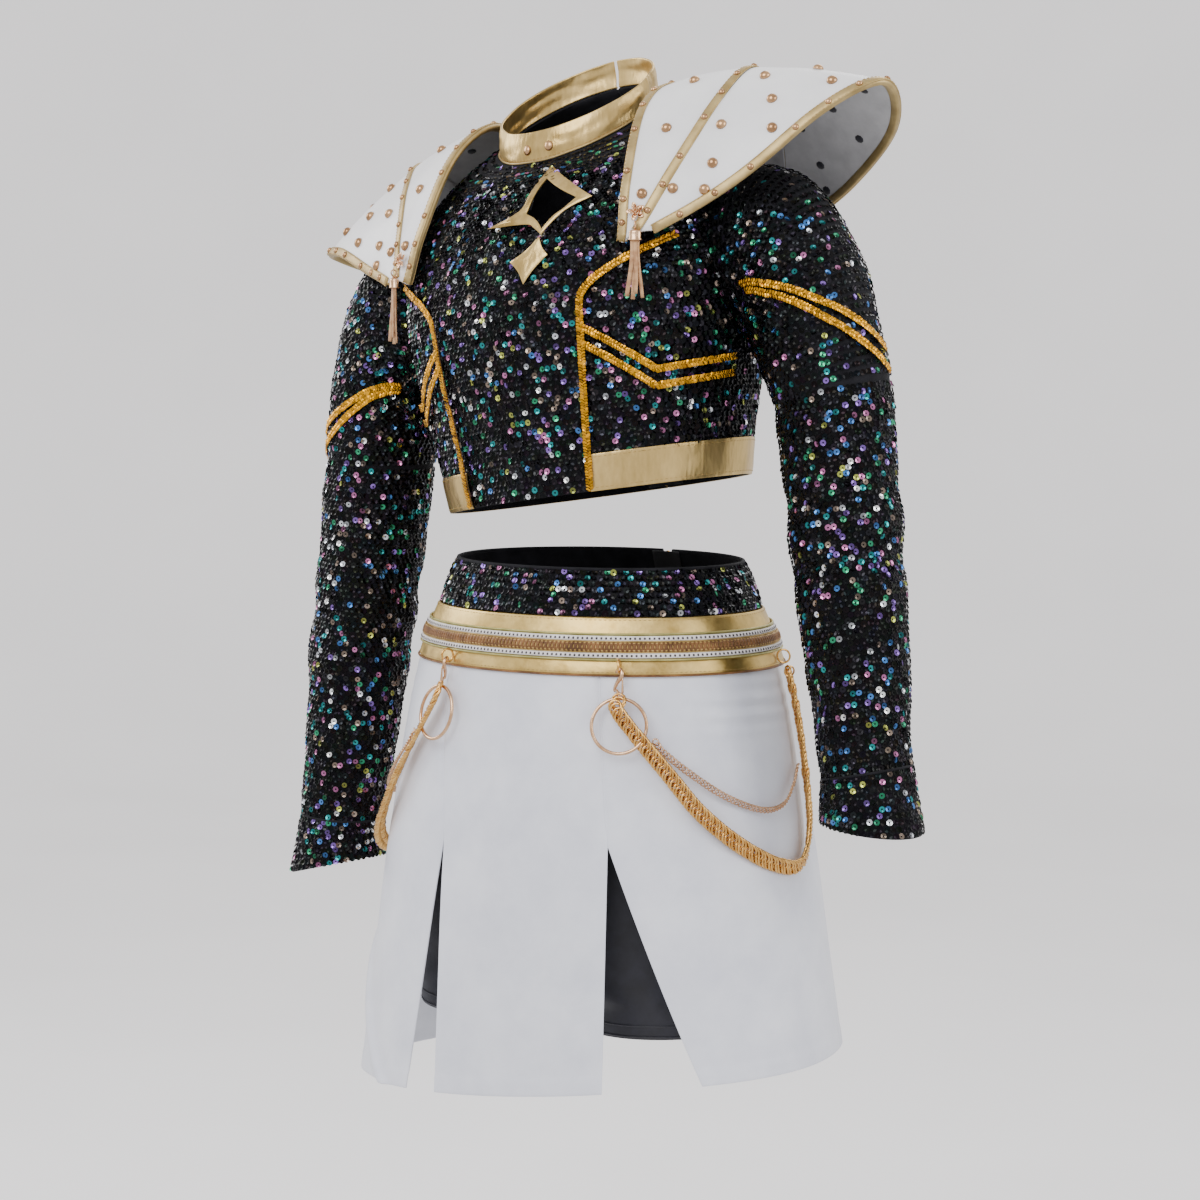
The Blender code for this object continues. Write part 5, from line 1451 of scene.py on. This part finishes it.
for name, sign in SIDES:
    half = cloth(f"shorts_{name}", shorts_half(sign), (72, 60), spandex, "skirt", wall=0.0014,
                 closed=True, flip=sign < 0)
    if sign > 0:
        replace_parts(half, "shorts")
    for drop in (0.002, 0.0105):
        ring = [shorts_half(sign)(k / 72, drop / (LEG_END + 0.086) * -1) for k in range(72)]
        tube(f"shorts_hem_{name}_{round(drop * 1000)}", ring, 0.0007, spandex, "skirt", "black_spandex", closed=True,
             sides=6)

# %% [markdown]
# ## Belt hardware and chains
#
# Two wire loops on each side of the belt carry a swag of chain. At the front a lobster clasp hooks into
# its loop and holds a large plain ring. A flat double curb chain hangs from the clasp through the ring
# and runs round the hip to the rear loop, with a thin curb chain above it. A curb link is an oval ring
# with a twist, so that the links lie flat: here each one is a short sweep, set down along the hanging
# curve.

# %% Loops, rings and clasps


def node_circle(node):
    """(centre, radius) of a ring that stands in the CAD model, from its vertices."""
    points = np.array([tuple(v.co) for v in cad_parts[node].data.vertices])
    centre = (points.max(0) + points.min(0)) / 2
    radii = np.linalg.norm(points - centre, axis=1)
    normal = np.linalg.svd(points - points.mean(0))[2][2]
    return Vector(centre), float(radii.max() + radii.min()) / 2, Vector(normal)


def node_ring(name, node, wire, material, body, slot, count=48):
    centre, radius, normal = node_circle(node)
    first = normal.orthogonal().normalized()
    path = ring_path(centre, first, normal.cross(first), radius, count)
    piece = tube(name, path, wire, material, body, slot, closed=True, sides=12)
    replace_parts(piece, node)
    return centre, radius, normal


LOOP_HEIGHT, LOOP_RADIUS, CHAIN_OUT = -0.069, 0.0050, 0.0085
LOOP_ANGLES = {"left": (35, 102), "right": (-23, -102)}
CHAIN_SAG = {"left": 0.125, "right": 0.140}
CHAIN_SHAPE = ((0.125, 0.46), (0.20, 0.64), (0.32, 0.86), (0.48, 1.06), (0.66, 1.20), (0.82, 1.22), (0.94, 1.02),
               (0.985, 0.66), (1.0, 0.34), (1.0, 0.115))
THIN_SHAPE = ((0.150, 0.44), (0.18, 0.50), (0.30, 0.64), (0.45, 0.78), (0.62, 0.87), (0.76, 0.86), (0.86, 0.76),
              (0.925, 0.66))


def link_shape(long, wide, wire, twist, around=12, sides=4):
    """A curb link as (points, faces): an oval ring of wire, twisted end over end."""
    bm = bmesh.new()
    path = []
    for k in range(around):
        t = 2 * math.pi * k / around
        spot = Vector((long * math.cos(t), wide * math.sin(t), 0))
        path.append(Matrix.Rotation(twist * math.cos(t), 3, "X") @ spot)
    tube_into(bm, path, wire, sides=sides, closed=True, up=[Vector((0, 0, 1))] * around)
    bmesh.ops.recalc_face_normals(bm, faces=bm.faces[:])
    bm.verts.index_update()
    points = [tuple(vert.co) for vert in bm.verts]
    faces = [[vert.index for vert in face.verts] for face in bm.faces]
    bm.free()
    return points, faces


def chain_along(name, path, spacing, shape, roll, body, cad, material, pair=0.0):
    """Links along a path of (spot, outward), each rolled about the path by the same angle with a small random change.
    """
    spots = [spot for spot, _ in path]
    places = []
    for k, (spot, along) in enumerate(even_path(spots, spacing)):
        out = min(path, key=lambda pair_: (pair_[0] - spot).length_squared)[1]
        side = out.cross(along).normalized()
        out = along.cross(side)
        lean_over = roll + math.radians(rng.normal(0, 3))
        across = side * math.cos(lean_over) + out * math.sin(lean_over)
        facing = along.cross(across)
        for shift in ((-pair / 2, pair / 2) if pair else (0.0,)):
            places.append(turned(along, across, facing, spot + along * shift, (1, 1, 1)))
    piece = copies(name, shape, places, material, body, smooth=True)
    if cad:
        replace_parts(piece, cad)
    print(f"{name}: {len(places)} links, {sum((b - a).length for a, b in zip(spots, spots[1:])):.3f} m")


def lobster(name, top, bottom, width, latch, body):
    """A lobster clasp between two points: a claw that opens towards the latch, and a small eye below."""
    down = (bottom - top).normalized()
    side = top - latch
    side = (side - down * side.dot(down)).normalized()
    length = (bottom - top).length
    half = width * 0.42
    claw = []
    for k in range(25):
        t = k / 24
        turn = mix(math.radians(150), math.radians(-75), min(t / 0.45, 1.0))
        if t < 0.45:
            claw.append(top + down * (half + 0.0004) + side * half * -math.cos(turn) - down * half * math.sin(turn))
        else:
            s = (t - 0.45) / 0.55
            start = claw[10]
            end = top + down * length * 0.72 + side * half * 0.75
            claw.append(start.lerp(end, ease(s)) + side * half * 0.85 * math.sin(math.pi * s * 0.8))
    tube(f"clasp_claw_{name}", claw, 0.0013, rose_gold, body, "rose_gold", thick=0.0011, sides=10,
         profile=lambda t: 0.62 + 0.75 * math.sin(math.pi * min(t * 0.9 + 0.08, 1)) ** 1.2)
    neck = [top + down * length * mix(0.70, 0.82, k / 6) + side * half * mix(0.75, 0.15, k / 6) for k in range(7)]
    tube(f"clasp_neck_{name}", neck, 0.0010, rose_gold, body, "rose_gold", sides=12)
    eye = ring_path(top + down * length * 0.88, side, down, 0.0020, 24)
    tube(f"clasp_eye_{name}", eye, 0.00065, rose_gold, body, "rose_gold", closed=True, sides=8)
    return claw, side, down, length


for name, sign in SIDES:
    body = f"swag_{name}"
    front, rear = (math.radians(angle) for angle in LOOP_ANGLES[name])
    for place in ("front", "rear"):
        centre, _, _ = node_ring(f"belt_loop_{place}_{name}", f"belt_loop_{place}_{name}", 0.0008, chain_gold, "skirt",
                                 "gold_chain", 32)
        foot = skirt_point(front if place == "front" else rear, LOOP_HEIGHT + 0.004, BELT_PROUD + 0.001)
        out = Vector((centre.x, centre.y, 0)).normalized()
        copies(f"loop_rivet_{place}_{name}", DOME, [stud_place(foot - out * 0.0006, out, 0.0022, 0.4)], chain_gold,
               "skirt", smooth=True)
        if place == "front":
            front_loop = centre
    ring_centre, ring_radius, ring_normal = node_ring(f"o_ring_{name}", f"o_ring_{name}", 0.00135, rose_gold, body,
                                                      "rose_gold", 72)
    out = ring_normal if ring_normal.dot(front_loop) > 0 else -ring_normal
    ring_top = ring_centre + (front_loop - ring_centre - out * out.dot(front_loop - ring_centre)).normalized() * ring_radius
    lever_points = [vert.co.copy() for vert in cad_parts[f"trigger_{name}"].data.vertices]
    lever_low, lever_high = min(lever_points, key=lambda co: co.z), max(lever_points, key=lambda co: co.z)
    clasp_top = front_loop - Vector((0, 0, LOOP_RADIUS - 0.0022)) + out * 0.0004
    claw, side, down, length = lobster(name, clasp_top - (ring_top - clasp_top).normalized() * 0.0014, ring_top + out * 0.0006,
                                       0.0100, lever_low.lerp(lever_high, 0.5), body)
    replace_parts(bpy.data.objects[f"clasp_claw_{name}"], f"clasp_{name}")
    lever = [lever_high.lerp(lever_low, mix(0.08, 0.92, k / 8)) for k in range(9)]
    trigger = tube(f"trigger_{name}", lever, 0.0008, rose_gold, f"trigger_{name}", "rose_gold", sides=8,
                   profile=lambda t: 0.7 + 0.6 * t)
    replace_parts(trigger, f"trigger_{name}")

    def swag(shape, out_by, start=None, name=name, front=front, rear=rear):
        """(spot, outward) along a hanging curve of (share round, share of the sag)."""
        knots = [skirt_point(mix(front, rear, share), LOOP_HEIGHT - CHAIN_SAG[name] * drop, out_by)
                 for share, drop in shape]
        for knot, (share, drop) in zip(knots, shape):
            knot.z = LOOP_HEIGHT - CHAIN_SAG[name] * drop
        knots = (start or []) + knots
        return [(spot, Vector((spot.x * 0.8, spot.y, 0.02)).normalized()) for spot in smooth_path(knots, 160)]

    up_ring = (ring_top - ring_centre).normalized()
    first = [ring_top - up_ring * 0.0035 + out * 0.0024,
             ring_top.lerp(ring_centre, 0.62) + out * 0.0040 + out.cross(up_ring) * -sign * 0.0010]
    big = swag(CHAIN_SHAPE[1:], CHAIN_OUT, first)
    chain_along(f"curb_chain_{name}", big, 0.0064, link_shape(0.0058, 0.0054, 0.00105, 0.5, 14, 5), 0.55, body,
                f"chain_{name}", chain_gold, pair=0.0026)
    thin = swag(THIN_SHAPE, CHAIN_OUT * 0.75)
    chain_along(f"thin_curb_chain_{name}", thin, 0.0034, link_shape(0.0028, 0.0024, 0.0006, 0.6, 10, 4), 0.6, body,
                f"thin_chain_{name}", rose_gold)
    end_link = ring_path(big[-1][0] + Vector((0, 0, 0.0030)), Vector((0, 0, 1)), big[-1][1], 0.0038, 24)
    tube(f"end_link_{name}", end_link, 0.0007, chain_gold, body, "gold_chain", closed=True, sides=8)

# %% [markdown]
# ## Zips
#
# Both garments close behind with a metal zip on a black tape. The teeth are small blocks, set in turn on
# each side of the middle. The slider is a shell with a bridge that holds its pull tab.

# %% Tapes, teeth and sliders


def zip_part(name, tape, height_span, body, cad, tooth=0.0016):
    """A woven tape with teeth down its middle; tape(u, v, out) bends it, with v up."""
    piece = cloth(f"{name}_tape", lambda u, v: tape(u, v, 0.0), (10, 60), tape_black, body, wall=0.0009)
    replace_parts(piece, cad)
    spots = even_path([tape(0.5, k / 80, 0.0009) for k in range(81)], tooth)
    places = []
    for k, (spot, along) in enumerate(spots):
        side = Vector((1, 0, 0)) if k % 2 else Vector((-1, 0, 0))
        out = Vector((0, 1, 0))
        out = (out - along * out.dot(along)).normalized()
        places.append(turned(side, along, out, spot + side * 0.0011, (0.0017, 0.0006, 0.0008)))
    copies(f"{name}_teeth", ball(4, 3), places, chain_gold, body)
    for side in (-1, 1):
        stay = [tape(0.5 + side * 0.30, k / 60, 0.0006) for k in range(61)]
        tube(f"{name}_stitching_{'left' if side > 0 else 'right'}", stay, 0.0004, tape_black, body, "zip_tape", sides=6)


def top_tape(u, v, out):
    angle = math.pi + mix(-1, 1, u) * 0.134
    height = mix(TOP_HEM + 0.002, 0.262, v)
    return lean(top_point(angle, height, -0.0028 + out))


def skirt_tape(u, v, out):
    return skirt_point(math.pi + mix(-1, 1, u) * 0.1083, mix(-0.150, -0.0003, v), -0.0028 + out)


def slider(name, body, tilt=0.0):
    """A zip slider: a rounded shell, a bridge over it and a flat pull with a hole."""
    low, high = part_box(name)
    middle = Vector(((low.x + high.x) / 2, (low.y + high.y) / 2, high.z - 0.006))
    if tilt:
        middle.y = low.y + 0.0040
    bm = bmesh.new()
    bmesh.ops.create_cube(bm, size=1.0)
    bmesh.ops.scale(bm, vec=(0.0078, 0.0036, 0.0110), verts=bm.verts)
    for vert in bm.verts:
        if vert.co.z < 0:
            vert.co.x *= 0.72
    bmesh.ops.bevel(bm, geom=bm.edges[:], offset=0.0010, segments=3, affect="EDGES", profile=0.5, material=-1)
    tube_into(bm, [Vector((0, 0.0016 + 0.0024 * math.sin(math.pi * k / 10), 0.0040 - 0.0075 * k / 10)) for k in range(11)],
              0.0009, sides=8)
    ring = [Vector((0.0022 * math.sin(t), 0.0032, -0.0055 - 0.0026 * math.cos(t) - 0.0010)) for t in
            (2 * math.pi * k / 20 for k in range(20))]
    tube_into(bm, ring, 0.0006, sides=6, closed=True)
    tab = [Vector((0, 0.0026 - 0.0012 * k / 12, -0.0082 - 0.0150 * k / 12)) for k in range(13)]
    tube_into(bm, tab, 0.0027, thick=0.0007, sides=12, up=Vector((0, 1, 0)),
              profile=lambda t: 0.55 + 0.45 * math.sin(math.pi * min(0.12 + t * 0.82, 1)))
    bmesh.ops.recalc_face_normals(bm, faces=bm.faces[:])
    bm.transform(Matrix.Translation(middle) @ Matrix.Rotation(tilt, 4, "X"))
    piece = link(f"{name}_shell", bm, chain_gold, body)
    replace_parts(piece, name)


zip_part("top_zip", top_tape, None, "top", "top_zip_tape")
zip_part("skirt_zip", skirt_tape, None, "skirt", "skirt_zip_tape")
slider("top_zip_slider", "top_zip_slider")
slider("skirt_zip_slider", "skirt_zip_slider", math.radians(15.6))

# %% [markdown]
# ## Backdrop
#
# A pale round floor well below the uniform curves up into a wall all round, like a studio cove. It isn't
# part of the uniform, and it doesn't hide the light that comes from outside it.

# %% Floor and backdrop
FLOOR_DROP, FLOOR_RADIUS, COVE, WALL_TOP = 0.95, 5.0, 1.5, 5.0
profile = [(0.0, 0.0), (FLOOR_RADIUS / 2, 0.0), (FLOOR_RADIUS, 0.0)]
profile += [(FLOOR_RADIUS + COVE * math.sin(t), COVE * (1 - math.cos(t))) for t in
            (math.radians(9 * k) for k in range(1, 11))]
profile.append((FLOOR_RADIUS + COVE, WALL_TOP))
bm = bmesh.new()
line = [bm.verts.new((radius, 0, height - FLOOR_DROP)) for radius, height in profile]
edges = [bm.edges.new(pair) for pair in zip(line, line[1:])]
bmesh.ops.spin(bm, geom=line + edges, cent=(0, 0, 0), axis=(0, 0, 1), angle=2 * math.pi, steps=64, use_merge=True)
bmesh.ops.remove_doubles(bm, verts=bm.verts, dist=1e-4)
bmesh.ops.recalc_face_normals(bm, faces=bm.faces[:])
if bm.faces[0].normal.z < 0:
    bmesh.ops.reverse_faces(bm, faces=bm.faces[:])
mesh = bpy.data.meshes.new("backdrop")
bm.to_mesh(mesh)
bm.free()
mesh.shade_smooth()
mesh.materials.append(floor_pale)
backdrop = bpy.data.objects.new("backdrop", mesh)
backdrop.visible_diffuse = backdrop.visible_glossy = backdrop.visible_shadow = False
bpy.context.scene.collection.objects.link(backdrop)
